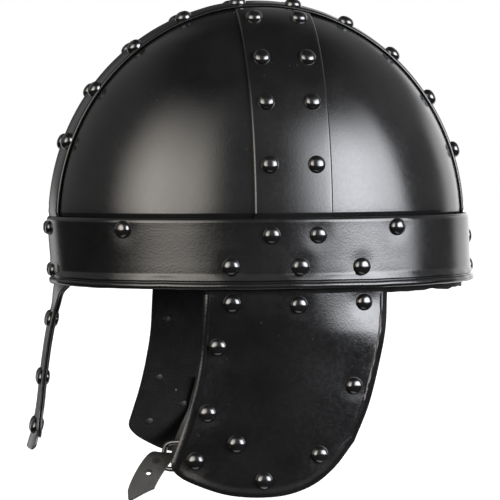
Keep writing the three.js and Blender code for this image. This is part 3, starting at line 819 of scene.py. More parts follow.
def cloud(tree, place, scale, detail=2.0, roughness=0.5):
    node = add_node(tree, "ShaderNodeTexNoise")
    feed(tree, node.inputs["Vector"], place)
    feed(tree, node.inputs["Scale"], scale)
    node.inputs["Detail"].default_value = detail
    node.inputs["Roughness"].default_value = roughness
    return node.outputs["Fac"]


def grey(level):
    return (level, level, level, 1.0)


def solid(colour):
    return (*colour, 1.0)


def new_group(name, inputs, outputs):
    """A shader node group with named sockets, its input and output nodes in place."""
    tree = bpy.data.node_groups.new(name, "ShaderNodeTree")
    for label, kind, default in inputs:
        socket = tree.interface.new_socket(name=label, in_out="INPUT", socket_type=kind)
        socket.default_value = default
    for label, kind in outputs:
        tree.interface.new_socket(name=label, in_out="OUTPUT", socket_type=kind)
    return tree, add_node(tree, "NodeGroupInput").outputs, add_node(tree, "NodeGroupOutput").inputs


def paint_group():
    """Black enamel: faint tone changes, orange peel, rubbed edges and uneven gloss."""
    name = "enamel"
    if name in bpy.data.node_groups:
        return bpy.data.node_groups[name]
    tree, given, out = new_group(
        name,
        [
            ("Colour", "NodeSocketColor", grey(0.01)), ("Rubbed", "NodeSocketColor", grey(0.05)),
            ("Rub", "NodeSocketFloat", 0.0), ("Gloss", "NodeSocketFloat", 0.25),
            ("Peel Scale", "NodeSocketFloat", 900.0), ("Wear", "NodeSocketFloat", 1.0),
        ],
        [("Colour", "NodeSocketColor"), ("Roughness", "NodeSocketFloat"), ("Height", "NodeSocketFloat")],
    )
    place = object_place(tree)
    peel = cloud(tree, place, given["Peel Scale"])
    broad = cloud(tree, place, 34.0, 3.0)
    fine = cloud(tree, place, 420.0, 3.0, 0.6)
    dents = cloud(tree, place, 22.0, 1.0)
    chips = ramp(tree, cloud(tree, place, 260.0, 4.0, 0.7), 0.35, 0.65, 0.35, 1.0)
    rub = ramp(tree, given["Rub"], 0.25, 1.0)
    worn = times(tree, rub, chips, given["Wear"])
    tone = blend_colour(tree, ramp(tree, broad, 0.3, 0.7, 0.0, 1.0), grey(0.82), grey(1.2))
    toned = blend_colour(tree, 1.0, given["Colour"], tone, "MULTIPLY")
    feed(tree, out["Colour"], blend_colour(tree, times(tree, worn, 0.75), toned, given["Rubbed"]))
    spread = sums(tree, "ADD", given["Gloss"], ramp(tree, broad, 0.3, 0.7, -0.025, 0.03, "LINEAR"))
    spread = sums(tree, "ADD", spread, ramp(tree, fine, 0.35, 0.7, -0.02, 0.045, "LINEAR"))
    feed(tree, out["Roughness"], sums(tree, "ADD", spread, times(tree, worn, 0.12)))
    feed(tree, out["Height"], sums(tree, "MULTIPLY_ADD", dents, 6.0, peel))
    return tree


def leather_group():
    """Leather: pebbled grain, fine pores, soft creases and uneven dye."""
    name = "leather grain"
    if name in bpy.data.node_groups:
        return bpy.data.node_groups[name]
    tree, given, out = new_group(
        name,
        [
            ("Vector", "NodeSocketVector", (0.0, 0.0, 0.0)), ("Colour", "NodeSocketColor", grey(0.02)),
            ("Grain Scale", "NodeSocketFloat", 700.0), ("Tone", "NodeSocketFloat", 0.5),
            ("Roughness", "NodeSocketFloat", 0.6),
        ],
        [("Colour", "NodeSocketColor"), ("Roughness", "NodeSocketFloat"), ("Height", "NodeSocketFloat")],
    )
    cells = add_node(tree, "ShaderNodeTexVoronoi", feature="DISTANCE_TO_EDGE")
    feed(tree, cells.inputs["Vector"], given["Vector"])
    feed(tree, cells.inputs["Scale"], given["Grain Scale"])
    pebble = ramp(tree, cells.outputs["Distance"], 0.0, 0.28)
    pores = cloud(tree, given["Vector"], 2400.0, 2.0)
    creases = cloud(tree, given["Vector"], 120.0, 3.0, 0.6)
    dye = cloud(tree, given["Vector"], 45.0, 4.0, 0.6)
    shift = times(tree, ramp(tree, dye, 0.3, 0.7, -1.0, 1.0, "LINEAR"), given["Tone"])
    shift = sums(tree, "ADD", shift, ramp(tree, pebble, 0.0, 1.0, -0.22, 0.06, "LINEAR"))
    level = sums(tree, "MAXIMUM", sums(tree, "ADD", shift, 1.0), 0.2)
    shade = as_colour(tree, (level, level, level))
    feed(tree, out["Colour"], blend_colour(tree, 1.0, given["Colour"], shade, "MULTIPLY"))
    uneven = sums(tree, "ADD", given["Roughness"], ramp(tree, creases, 0.3, 0.7, -0.08, 0.1, "LINEAR"))
    feed(tree, out["Roughness"], uneven)
    height = sums(tree, "MULTIPLY_ADD", creases, 1.5, pebble)
    feed(tree, out["Height"], sums(tree, "MULTIPLY_ADD", pores, 0.35, height))
    return tree


def dust_group():
    """Sparse pale flecks of dust and lint."""
    name = "dust flecks"
    if name in bpy.data.node_groups:
        return bpy.data.node_groups[name]
    tree, given, out = new_group(
        name,
        [("Scale", "NodeSocketFloat", 160.0), ("Amount", "NodeSocketFloat", 0.5)],
        [("Mask", "NodeSocketFloat")],
    )
    place = object_place(tree)
    flecks = add_node(tree, "ShaderNodeTexVoronoi", feature="F1")
    feed(tree, flecks.inputs["Vector"], place)
    feed(tree, flecks.inputs["Scale"], given["Scale"])
    spot = ramp(tree, flecks.outputs["Distance"], 0.05, 0.14, 1.0, 0.0)
    split = add_node(tree, "ShaderNodeSeparateColor")
    feed(tree, split.inputs["Color"], flecks.outputs["Color"])
    chosen = ramp(tree, split.outputs["Red"], 0.8, 0.95)
    feed(tree, out["Mask"], times(tree, spot, chosen, given["Amount"]))
    return tree


def new_material(name):
    """A new material with its node tree and Principled shader."""
    material = bpy.data.materials.new(name)
    material.use_nodes = True
    tree = material.node_tree
    return material, tree, tree.nodes["Principled BSDF"]


def bump(tree, shader, height, distance, strength):
    node = add_node(tree, "ShaderNodeBump")
    node.inputs["Strength"].default_value = strength
    node.inputs["Distance"].default_value = distance
    feed(tree, node.inputs["Height"], height)
    feed(tree, shader.inputs["Normal"], node.outputs["Normal"])


def place_group(tree, group, **values):
    node = add_node(tree, "ShaderNodeGroup", node_tree=group)
    for label, value in values.items():
        feed(tree, node.inputs[label.replace("_", " ")], value)
    return node.outputs


def attribute(tree, name):
    return add_node(tree, "ShaderNodeAttribute", attribute_name=name).outputs["Fac"]


def enamel(name, gloss, peel_scale, peel_depth, ior, wear=0.0):
    """Black painted steel; the wear is how far its rubbed edges show."""
    if name in bpy.data.materials:
        return bpy.data.materials[name]
    finish = bpy.context.scene.helmet_finish
    material, tree, shader = new_material(name)
    skin = place_group(
        tree, paint_group(), Colour=solid(finish.paint), Rubbed=solid(finish.rubbed),
        Rub=attribute(tree, "rub"), Gloss=gloss, Peel_Scale=peel_scale, Wear=wear,
    )
    dust = place_group(tree, dust_group(), Scale=210.0, Amount=0.2)["Mask"]
    feed(tree, shader.inputs["Base Color"], blend_colour(tree, dust, skin["Colour"], grey(0.09)))
    feed(tree, shader.inputs["Roughness"], skin["Roughness"])
    bump(tree, shader, skin["Height"], peel_depth, 0.35)
    shader.inputs["IOR"].default_value = ior
    return material


def plate_paint():
    gloss = bpy.context.scene.helmet_finish.paint_roughness
    return enamel("black enamel", gloss, peel_scale=1000.0, peel_depth=0.0001, ior=1.5, wear=1.0)


def rivet_paint():
    gloss = bpy.context.scene.helmet_finish.rivet_roughness
    return enamel("rivet enamel", gloss, peel_scale=500.0, peel_depth=0.00004, ior=1.8)


def tail_paint():
    """Dull black of the peened tails on the linings."""
    return enamel("tail paint", gloss=0.5, peel_scale=700.0, peel_depth=0.00006, ior=1.4)


def leather(name, colour, grain_scale, tone, roughness, depth, strength):
    """A leather material with its node tree, its shader and the colour of its hide."""
    material, tree, shader = new_material(name)
    hide = place_group(
        tree, leather_group(), Vector=object_place(tree), Colour=solid(colour), Grain_Scale=grain_scale,
        Tone=tone, Roughness=roughness,
    )
    feed(tree, shader.inputs["Roughness"], hide["Roughness"])
    bump(tree, shader, hide["Height"], depth, strength)
    return material, tree, shader, hide["Colour"]


def lining_leather():
    """Black leather, matt, with lint on it."""
    name = "lining leather"
    if name in bpy.data.materials:
        return bpy.data.materials[name]
    colour = bpy.context.scene.helmet_finish.lining
    material, tree, shader, hide = leather(
        name, colour, grain_scale=800.0, tone=0.35, roughness=0.62, depth=0.00018, strength=0.6,
    )
    lint = place_group(tree, dust_group(), Scale=150.0, Amount=0.8)["Mask"]
    feed(tree, shader.inputs["Base Color"], blend_colour(tree, lint, hide, grey(0.16)))
    shader.inputs["Specular IOR Level"].default_value = 0.16
    return material


def strap_leather():
    """Worn grey-brown leather with black edges."""
    name = "strap leather"
    if name in bpy.data.materials:
        return bpy.data.materials[name]
    colour = bpy.context.scene.helmet_finish.strap
    material, tree, shader, hide = leather(
        name, colour, grain_scale=950.0, tone=0.3, roughness=0.55, depth=0.00016, strength=0.5,
    )
    # The mark draws the leather near black along its edges and round its holes
    edge = ramp(tree, attribute(tree, "rub"), 0.45, 0.95)
    feed(tree, shader.inputs["Base Color"], blend_colour(tree, edge, hide, grey(0.008)))
    return material


def ring_steel():
    """Blackened wire with a dull shine."""
    return enamel("blackened wire", gloss=0.28, peel_scale=1400.0, peel_depth=0.00005, ior=1.8)


# Operators, one for each piece or group of like pieces

class HELMET_OT_crown_plates(bpy.types.Operator):
    """Four quarter plates of the crown"""

    bl_idname = "helmet.crown_plates"
    bl_label = "Crown plates"

    def execute(self, context):
        sizes = context.scene.helmet_sizes
        for side_name, side in SIDES:
            for end_name, end in (("front", -1), ("back", 1)):
                bm = bmesh.new()
                ellipsoid(bm, "Z", 0.0, *PLATE_STEPS)
                keep_inside(bm, (0, 0, EQUATOR), (0, 0, -1))
                keep_inside(bm, (side * PLATE_TO_RIDGE_MIDDLE, 0, 0), (-side, 0, 0))
                keep_inside(bm, (0, SIDE_MIDDLE + end * PLATE_TO_SIDE_MIDDLE, 0), (0, -end, 0))
                drop_skirt(bm, PLATE_FOOT)
                tuck_foot(bm)
                face_out(bm, Vector((0, 0, EQUATOR)))
                mark_rub(bm, PLATE_RUB)
                node = f"crown_plate_{end_name}_{side_name}"
                piece = make_piece(bm, f"plate_{end_name}_{side_name}", plate_paint(), [node])
                thicken(piece, STEEL, -1.0, sizes.edge_round)
        return {"FINISHED"}


def crown_band(name, node, pole, middle, half, lift, top=()):
    """Band over the crown, from its middle and half width along the named axis; lift raises each place."""
    across = Vector((1, 0, 0)) if pole == "X" else Vector((0, 1, 0))
    bm = bmesh.new()
    ellipsoid(bm, pole, BAND_OUTER, *BAND_STEPS)
    keep_inside(bm, (0, 0, EQUATOR), (0, 0, -1))
    if top:
        keep_inside(bm, *top)
    for end in (1, -1):
        keep_inside(bm, across * (middle + end * half), across * end)
    for inset in EDGE_ROLL_LINES:
        for end in (1, -1):
            score(bm, across * (middle + end * (half - inset)), across)
    for vert in bm.verts:
        vert.co += crown_normal(vert.co) * lift(vert.co)
    drop_skirt(bm, BAND_FOOT)
    tuck_foot(bm)
    roll_edge(bm, lambda place: half - abs(place.dot(across) - middle))
    face_out(bm, Vector((0, 0, EQUATOR)))
    mark_rub(bm)
    piece = make_piece(bm, name, plate_paint(), [node])
    thicken(piece, STEEL, -1.0, BAND_EDGE_ROUND, thinned=True)


class HELMET_OT_ridge_band(bpy.types.Operator):
    """Band over the crown from front to back, lifted where it crosses the side bands"""

    bl_idname = "helmet.ridge_band"
    bl_label = "Ridge band"

    def execute(self, context):
        crown_band("band_ridge", "ridge_band", "X", 0.0, RIDGE_HALF, lambda place: crossing_lift(place.y))
        return {"FINISHED"}


class HELMET_OT_side_bands(bpy.types.Operator):
    """Band up each side of the crown, which dips under the ridge band"""

    bl_idname = "helmet.side_bands"
    bl_label = "Side bands"

    @staticmethod
    def dip(place):
        return -SIDE_DIP["depth"] * smoothstep(SIDE_DIP["start"] - abs(place.x), 0, SIDE_DIP["run"])

    def execute(self, context):
        for name, side in SIDES:
            top = ((side * SIDE_TOP, 0, 0), (-side, 0, 0))
            crown_band(f"band_side_{name}", f"side_band_{name}", "Y", SIDE_MIDDLE, SIDE_HALF, self.dip, top)
        return {"FINISHED"}


class HELMET_OT_brow_band(bpy.types.Operator):
    """Band round the brow, with its turned lip and rolled lower bead"""

    bl_idname = "helmet.brow_band"
    bl_label = "Brow band"

    def execute(self, context):
        bm = bmesh.new()
        corners = [bm.verts.new((0, CROWN.y + out, height)) for out, height in BROW_OUTSIDE + BROW_INSIDE]
        edges = [bm.edges.new(pair) for pair in zip(corners, corners[1:] + corners[:1])]
        spin_round(bm, corners + edges, BROW_STEPS)
        narrowing = CROWN.y - CROWN.x
        seats = [point for point, _ in brow_seats()]
        for vert in bm.verts:
            outward = vert.co.xy.normalized()
            turn = math.atan2(vert.co.y, vert.co.x)
            fade = 1 - smoothstep(vert.co.z, *BROW_WAVE["fade"])
            wave = ripple(turn, BROW_RIPPLES) * BROW_WAVE["size"] * fade
            vert.co.x += (brow_lean(vert.co.z) - narrowing) * outward.x
            vert.co.y += brow_shift(vert.co.z)
            near = [seat for seat in seats if abs(vert.co.y - seat.y) < DIMPLE_RADIUS]
            pressed = sum(dimple((vert.co - seat).length) for seat in near)
            vert.co += Vector((*outward, BROW_WAVE["rise"])) * wave - Vector((*outward, 0)) * pressed
        bmesh.ops.recalc_face_normals(bm, faces=bm.faces)
        bm.verts.layers.float.new("rub")
        make_piece(bm, "band_brow", plate_paint(), ["brow_band"])
        return {"FINISHED"}


class HELMET_OT_nose_guard(bpy.types.Operator):
    """Nose guard with its wide tongue inside the brow, and the layer behind it"""

    bl_idname = "helmet.nose_guard"
    bl_label = "Nose guard"

    def execute(self, context):
        layers = (
            ("nose_guard", "nasal", NASAL_TOP, NASAL_END, 0.0, NASAL_OUTER),
            ("nose_backing", "nasal_backing", BACKING_TOP, BACKING_END, BACKING_INSET, BACKING_OUTER),
        )
        for name, node, top, end, inset, offset in layers:
            bm = bmesh.new()

            def place(u, v):
                z = mix(top, end, v)
                half = table_value(NASAL_KEYS, NASAL_HALVES, z) - inset
                return nasal_point((2 * u - 1) * half, z, offset)

            shaped_grid(bm, *NASAL_STEPS, place)
            face_out(bm, Vector((0, 0, 0)))
            mark_rub(bm, NASAL_RUB)
            piece = make_piece(bm, name, plate_paint(), [node])
            thicken(piece, STEEL, -1.0, NASAL_EDGE_ROUND, NASAL_EDGE_STEPS)
        return {"FINISHED"}


class HELMET_OT_cheek_guards(bpy.types.Operator):
    """Hanging cheek guards with a raised roll along three edges"""

    bl_idname = "helmet.cheek_guards"
    bl_label = "Cheek guards"

    @staticmethod
    def outline_runs():
        """Short straight runs along the guard's free edges: start, run and squared length."""
        shares = [i / GUARD_OUTLINE_STEPS for i in range(GUARD_OUTLINE_STEPS + 1)]
        points = [FRONT_EDGE.share(share) for share in shares[:-1]]
        points += [BOTTOM_EDGE.share(share) for share in shares[:-1]]
        points += [BACK_EDGE.share(1 - share) for share in shares]
        points = [round_corner(point) for point in points]
        runs = [(a, b - a) for a, b in zip(points, points[1:])]
        return [(start, run, run.length_squared) for start, run in runs if run.length > 1e-6]

    @staticmethod
    def outline_gap(place, outline):
        """Distance from a place in the guard's plane to its front, bottom and back edges."""
        best = 1e9
        for start, run, square in outline:
            away = place - start
            share = clamp(away.dot(run) / square)
            best = min(best, (away - run * share).length_squared)
        return math.sqrt(best)

    @staticmethod
    def roll_height(spot, gap):
        """Height of the raised roll at a gap from the edge: round in front, with a late crest at the back."""
        if gap >= ROLL["width"]:
            return 0.0
        middle = 2 * gap / ROLL["width"] - 1
        rounded = max(1 - middle * middle, 0) ** ROLL["round"]
        sloped = min((middle + 1) / (1 + ROLL["crest"]), (1 - middle) / (1 - ROLL["crest"]))
        height = ROLL["height"] * mix(rounded, sloped, smoothstep(spot.x, *ROLL["sloped"]))
        return height * mix(ROLL["low"], 1.0, smoothstep(spot.y, *ROLL["fade"]))

    def soften_corner(self, bm, side):
        """Even out the sheet round the front lower corner."""
        corner = hung_point(side, *GUARD_FRONT[-1], 0)
        near = [vert for vert in bm.verts if (vert.co - corner).length < CORNER_SMOOTHING["reach"]]
        inner = [vert for vert in near if not vert.is_boundary]
        for _ in range(CORNER_SMOOTHING["times"]):
            bmesh.ops.smooth_vert(
                bm, verts=inner, factor=CORNER_SMOOTHING["factor"],
                use_axis_x=True, use_axis_y=True, use_axis_z=True,
            )

    def execute(self, context):
        edge_round = context.scene.helmet_sizes.edge_round
        outline = self.outline_runs()
        front, back, low = GUARD_PLAIN
        for name, side in SIDES:
            bm = bmesh.new()

            def place(u, v):
                across = crowd_edges(u, GUARD_CROWDING["edge"], GUARD_CROWDING["across"])
                down = 1 - crowd_edges(0.5 + 0.5 * (1 - v), GUARD_CROWDING["edge"], GUARD_CROWDING["down"])
                spot = round_corner(guard_place(across, clamp(down * 2, 0, 1)))
                plain = front < across < back and down < low
                roll = 0.0 if plain else self.roll_height(spot, self.outline_gap(spot, outline))
                pressed = sum(dimple((spot - Vector(rivet)).length) for rivet in GUARD_RIVETS)
                return hung_point(side, spot.x, spot.y, pressed - roll)

            shaped_grid(bm, GUARD_STEPS, GUARD_STEPS, place)
            self.soften_corner(bm, side)
            face_out(bm, GUARD_CENTRE)
            mark_rub(bm, GUARD_RUB)
            piece = make_piece(bm, f"guard_{name}", plate_paint(), [f"cheek_guard_{name}"])
            thicken(piece, STEEL, -1.0, edge_round)
        return {"FINISHED"}


class HELMET_OT_cheek_linings(bpy.types.Operator):
    """Leather linings of the cheek guards, which run up inside the rim as their hinges"""

    bl_idname = "helmet.cheek_linings"
    bl_label = "Cheek linings"

    def execute(self, context):
        inwards = STEEL + INNER_GAP
        for name, side in SIDES:
            bm = bmesh.new()
            inset = LINING_INSET[side]

            def place(u, v):
                across = mix(inset, 1 - inset, u)
                if v < HINGE_SHARE:
                    spot = guard_place(across, 0)
                    rise = (1 - v / HINGE_SHARE) * HINGE_RISE
                    return hung_point(side, spot.x, spot.y + rise, inwards)
                spot = round_corner(guard_place(across, (v - HINGE_SHARE) / (1 - HINGE_SHARE) * (1 - inset)))
                return hung_point(side, spot.x, spot.y, inwards)

            shaped_grid(bm, *LINING_STEPS, place)
            face_out(bm, GUARD_CENTRE)
            mark_rub(bm)
            piece = make_piece(bm, f"lining_{name}", lining_leather(), [f"cheek_lining_{name}"])
            thicken(piece, LEATHER, -1.0, LEATHER_EDGE, LEATHER_EDGE_STEPS)
        return {"FINISHED"}


class HELMET_OT_liner_band(bpy.types.Operator):
    """Leather band inside the rim, whose uneven edge shows under the back"""

    bl_idname = "helmet.liner_band"
    bl_label = "Liner band"

    def execute(self, context):
        rows = LINER["rows"]
        bm = bmesh.new()
        corners = [bm.verts.new((0, CROWN.y + LINER["offset"], i / rows)) for i in range(rows + 1)]
        edges = [bm.edges.new(pair) for pair in zip(corners, corners[1:])]
        spin_round(bm, corners + edges, LINER["steps"])
        narrowing = CROWN.y - CROWN.x
        for vert in bm.verts:
            turn = math.atan2(vert.co.y, vert.co.x)
            back = smoothstep(math.sin(turn), *LINER["dip"])
            low = mix(LINER["front"], LINER["back"], back)
            low += LINER["wave"] * back * ripple(turn, LINER_RIPPLES)
            vert.co.z = mix(low, LINER["top"], vert.co.z)
            vert.co.x -= narrowing * vert.co.x / vert.co.xy.length
            vert.co.y += LINER["back_shift"] * smoothstep(math.sin(turn), *LINER["shift_from"])
        face_out(bm, Vector((0, 0, LINER["middle"])))
        mark_rub(bm)
        piece = make_piece(bm, "liner_edge", lining_leather(), ["liner_band"])
        thicken(piece, LEATHER, -1.0, LEATHER_EDGE, LEATHER_EDGE_STEPS)
        return {"FINISHED"}


class HELMET_OT_chin_strap(bpy.types.Operator):
    """Both halves of the chin strap: the long one with holes and a point, the short one round the ring"""

    bl_idname = "helmet.chin_strap"
    bl_label = "Chin strap"

    def punch(self, bm, spots):
        """Open a round hole at each spot of the flat strap."""
        for i, spot in enumerate(spots):
            radius = HOLE_RADIUS[min(i, 1)]
            near = [face for face in bm.faces if (face.calc_center_median() - spot).length < radius]
            rim = {vert for face in near for vert in face.verts}
            bmesh.ops.delete(bm, geom=near, context="FACES")
            for vert in rim:
                if vert.is_valid and vert.is_boundary:
                    away = vert.co - spot
                    vert.co = spot + away.normalized() * radius

    @staticmethod
    def pointed_run(across, run, length):
        """Draw the last stretch of a strap back to its point."""
        from_end = length - run
        if from_end >= STRAP_TIP["tail"]:
            return run
        far = across > STRAP_TIP["place"]
        reach = 1 - STRAP_TIP["place"] if far else 1 + STRAP_TIP["place"]
        share = clamp((abs(across - STRAP_TIP["place"]) - STRAP_TIP["blunt"]) / (reach - STRAP_TIP["blunt"]))
        drop = share * STRAP_TIP["far" if far else "near"]
        tail = STRAP_TIP["tail"]
        return length - tail + (tail - from_end) / tail * (tail - drop)

    def flat_strap(self, bm, length, width, columns, holes, pointed):
        """Lay the strap out flat, with its point and its holes."""
        rows = round(length / (width / columns))

        def place(u, v):
            across = 2 * u - 1
            run = self.pointed_run(across, v * length, length) if pointed else v * length
            return Vector((across * width / 2, run, 0))

        shaped_grid(bm, columns, rows, place)
        self.punch(bm, holes)

    def bend(self, bm, line):
        """Carry the flat strap on to its line and give it its map of lengths."""
        layer = bm.loops.layers.uv.new("lengths")
        for face in bm.faces:
            for loop in face.loops:
                loop[layer].uv = (loop.vert.co.y * MAP_SCALE, loop.vert.co.x * MAP_SCALE + 0.5)
        for vert in bm.verts:
            middle, across, _ = line.frame(vert.co.y)
            vert.co = middle + across * vert.co.x

    def execute(self, context):
        long_line = long_strap_line()
        short_line = short_strap_line(ring_frame(long_line))
        first = long_line.line.length - STRAP_HOLES["first"]
        spots = [Vector((0, first - i * STRAP_HOLES["step"], 0)) for i in range(STRAP_HOLES["count"])]
        straps = (
            ("strap_long", "chin_strap_right", long_line, STRAP_WIDTH, 16, spots, True),
            ("strap_short", "chin_strap_left", short_line, SHORT_WIDTH, 10, [], False),
        )
        for name, node, line, width, columns, holes, pointed in straps:
            bm = bmesh.new()
            self.flat_strap(bm, line.line.length, width, columns, holes, pointed)
            mark_rub(bm)
            rub = bm.verts.layers.float["rub"]
            # The leather round each hole is marked to be drawn darker, like the edges
            for vert in bm.verts:
                if any((vert.co - spot).length < STRAP_HOLES["dark_ring"] for spot in holes):
                    vert[rub] = 1.0
            self.bend(bm, line)
            bmesh.ops.recalc_face_normals(bm, faces=bm.faces)
            piece = make_piece(bm, name, strap_leather(), [node])
            thicken(piece, LEATHER, 0.0, STRAP_EDGE, LEATHER_EDGE_STEPS)
        return {"FINISHED"}


class HELMET_OT_chin_ring(bpy.types.Operator):
    """Bent wire ring of the chin strap"""

    bl_idname = "helmet.chin_ring"
    bl_label = "Chin ring"

    def execute(self, context):
        centre, long, short, through = ring_frame(long_strap_line())
        bm = bmesh.new()
        bmesh.ops.create_circle(bm, segments=RING["wire_steps"], radius=RING["wire"])
        bmesh.ops.rotate(bm, verts=bm.verts, cent=(0, 0, 0), matrix=Matrix.Rotation(math.pi / 2, 3, "X"))
        bmesh.ops.translate(bm, vec=(RING["short"], 0, 0), verts=bm.verts)
        spin_round(bm, bm.verts[:] + bm.edges[:], RING["steps"])

        def squared(value):
            return math.copysign(abs(value) ** (2 / RING["square"]), value)

        for vert in bm.verts:
            turn = math.atan2(vert.co.y, vert.co.x)
            out = vert.co.xy.length - RING["short"]
            reach = RING["long"] * squared(math.cos(turn)) + out * math.cos(turn)
            rise = RING["short"] * squared(math.sin(turn)) + out * math.sin(turn)
            vert.co = centre + long * reach + short * rise + through * vert.co.z
        bmesh.ops.recalc_face_normals(bm, faces=bm.faces)
        bm.verts.layers.float.new("rub")
        make_piece(bm, "strap_ring", ring_steel(), ["chin_ring"])
        return {"FINISHED"}


def dome(bm, point, normal, radius, height, rounds, rises):
    """A domed head on a surface, with a short root below it."""
    verts = bmesh.ops.create_uvsphere(bm, u_segments=rounds, v_segments=2 * rises, radius=1.0)["verts"]
    faces = list({face for vert in verts for face in vert.link_faces})
    low = [face for face in faces if face.calc_center_median().z < -1e-4]
    bmesh.ops.delete(bm, geom=low, context="FACES")
    verts = [vert for vert in verts if vert.is_valid]
    rim = [edge for edge in {edge for vert in verts for edge in vert.link_edges} if edge.is_boundary]
    for vert in verts:
        vert.co.z = math.sqrt(max(1 - vert.co.xy.length ** DOME_FULLNESS, 0))
    bmesh.ops.scale(bm, vec=(radius, radius, height), verts=verts)
    made = bmesh.ops.extrude_edge_only(bm, edges=rim)
    fresh = [item for item in made["geom"] if isinstance(item, bmesh.types.BMVert)]
    bmesh.ops.translate(bm, vec=(0, 0, -RIVET_ROOT), verts=fresh)
    spin = normal.to_track_quat("Z", "Y").to_matrix().to_4x4()
    bmesh.ops.transform(bm, matrix=Matrix.Translation(point) @ spin, verts=verts + fresh)


def nudge(normal, draw):
    """Tilt a direction a little, as hand-set rivets are."""
    shift = Vector((draw.uniform(-1, 1), draw.uniform(-1, 1), draw.uniform(-1, 1)))
    return (normal + shift * RIVET_TILT).normalized()


def ridge_seats(offset):
    for i in range(RIDGE_RIVETS["count"]):
        turn = math.radians(RIDGE_RIVETS["first"] + i * RIDGE_RIVETS["step"])
        for across in (-RIDGE_RIVETS["across"], RIDGE_RIVETS["across"]):
            point = ridge_point(across, turn, offset)
            yield point, crown_normal(point)


def side_seats(side, offset):
    for height in SIDE_RIVETS["heights"]:
        for across in (-SIDE_RIVETS["across"], SIDE_RIVETS["across"]):
            point = side_point(side, SIDE_MIDDLE + across, height, offset)
            yield point, crown_normal(point)


def nasal_seats(offset, outward):
    for z in NASAL_RIVET_HEIGHTS:
        for x in (-NASAL_RIVET_ACROSS, NASAL_RIVET_ACROSS):
            point = nasal_point(x, z, offset)
            across = nasal_point(x + 1, z, offset) - point
            down = nasal_point(x, z - 1, offset) - point
            normal = across.cross(down).normalized()
            yield point, normal if normal.y * outward < 0 else -normal


class HELMET_OT_rivets(bpy.types.Operator):
    """Domed rivet heads outside and their peened tails inside"""

    bl_idname = "helmet.rivets"
    bl_label = "Rivets"

    def execute(self, context):
        sizes = context.scene.helmet_sizes
        radius, height = sizes.rivet_radius / MM, sizes.rivet_height / MM
        low = sizes.nose_rivet_height / MM
        tail, tail_height = sizes.tail_radius / MM, sizes.tail_height / MM
        inside = -STEEL
        lining_face = STEEL + INNER_GAP + LEATHER
        front_radius, front_height = BROW_FRONT_RIVETS[0] * radius, BROW_FRONT_RIVETS[1] * height
        front = [seat for seat in brow_seats() if seat[1].y <= BROW_FRONT]
        other = [seat for seat in brow_seats() if seat[1].y > BROW_FRONT]
        nose_tails = list(nasal_seats(BACKING_OUTER - STEEL, -1))
        groups = [
            ("rivets_ridge", list(ridge_seats(BAND_OUTER)), radius, height),
            ("rivets_brow", other, radius, height),
            ("rivets_brow_front", front, front_radius, front_height),
            ("rivets_nose", list(nasal_seats(NASAL_OUTER, 1)), NOSE_RIVET_WIDTH * radius, low),
            ("tails_nose", nose_tails, NOSE_TAILS[0] * radius, NOSE_TAILS[1]),
            ("tails_ridge", [(p, -n) for p, n in ridge_seats(inside)], tail, tail_height),
        ]
        for name, side in SIDES:
            heads = [guard_seat(side, y, z, DIMPLE_DEPTH, 1) for y, z in GUARD_RIVETS]
            tails = [guard_seat(side, y, z, lining_face, -1) for y, z in GUARD_RIVETS]
            groups += [
                (f"rivets_side_{name}", list(side_seats(side, BAND_OUTER)), radius, height),
                (f"tails_side_{name}", [(p, -n) for p, n in side_seats(side, inside)], tail, tail_height),
                (f"rivets_guard_{name}", heads, radius, height),
                (f"tails_guard_{name}", tails, tail, tail_height),
            ]
        draw = random.Random(RIVET_SEED)
        for name, seats, wide, tall in groups:
            bm = bmesh.new()
            steps = HEAD_STEPS if name.startswith("rivets") else TAIL_STEPS
            for point, normal in seats:
                grow = draw.uniform(0.97, 1.03)
                tilted = nudge(normal, draw)
                rise = draw.uniform(0.95, 1.05)
                dome(bm, point, tilted, wide * grow, tall * rise, *steps)
            bmesh.ops.recalc_face_normals(bm, faces=bm.faces)
            bm.verts.layers.float.new("rub")
            paint = tail_paint() if name.startswith("tails_guard") else rivet_paint()
            make_piece(bm, name, paint)
        return {"FINISHED"}


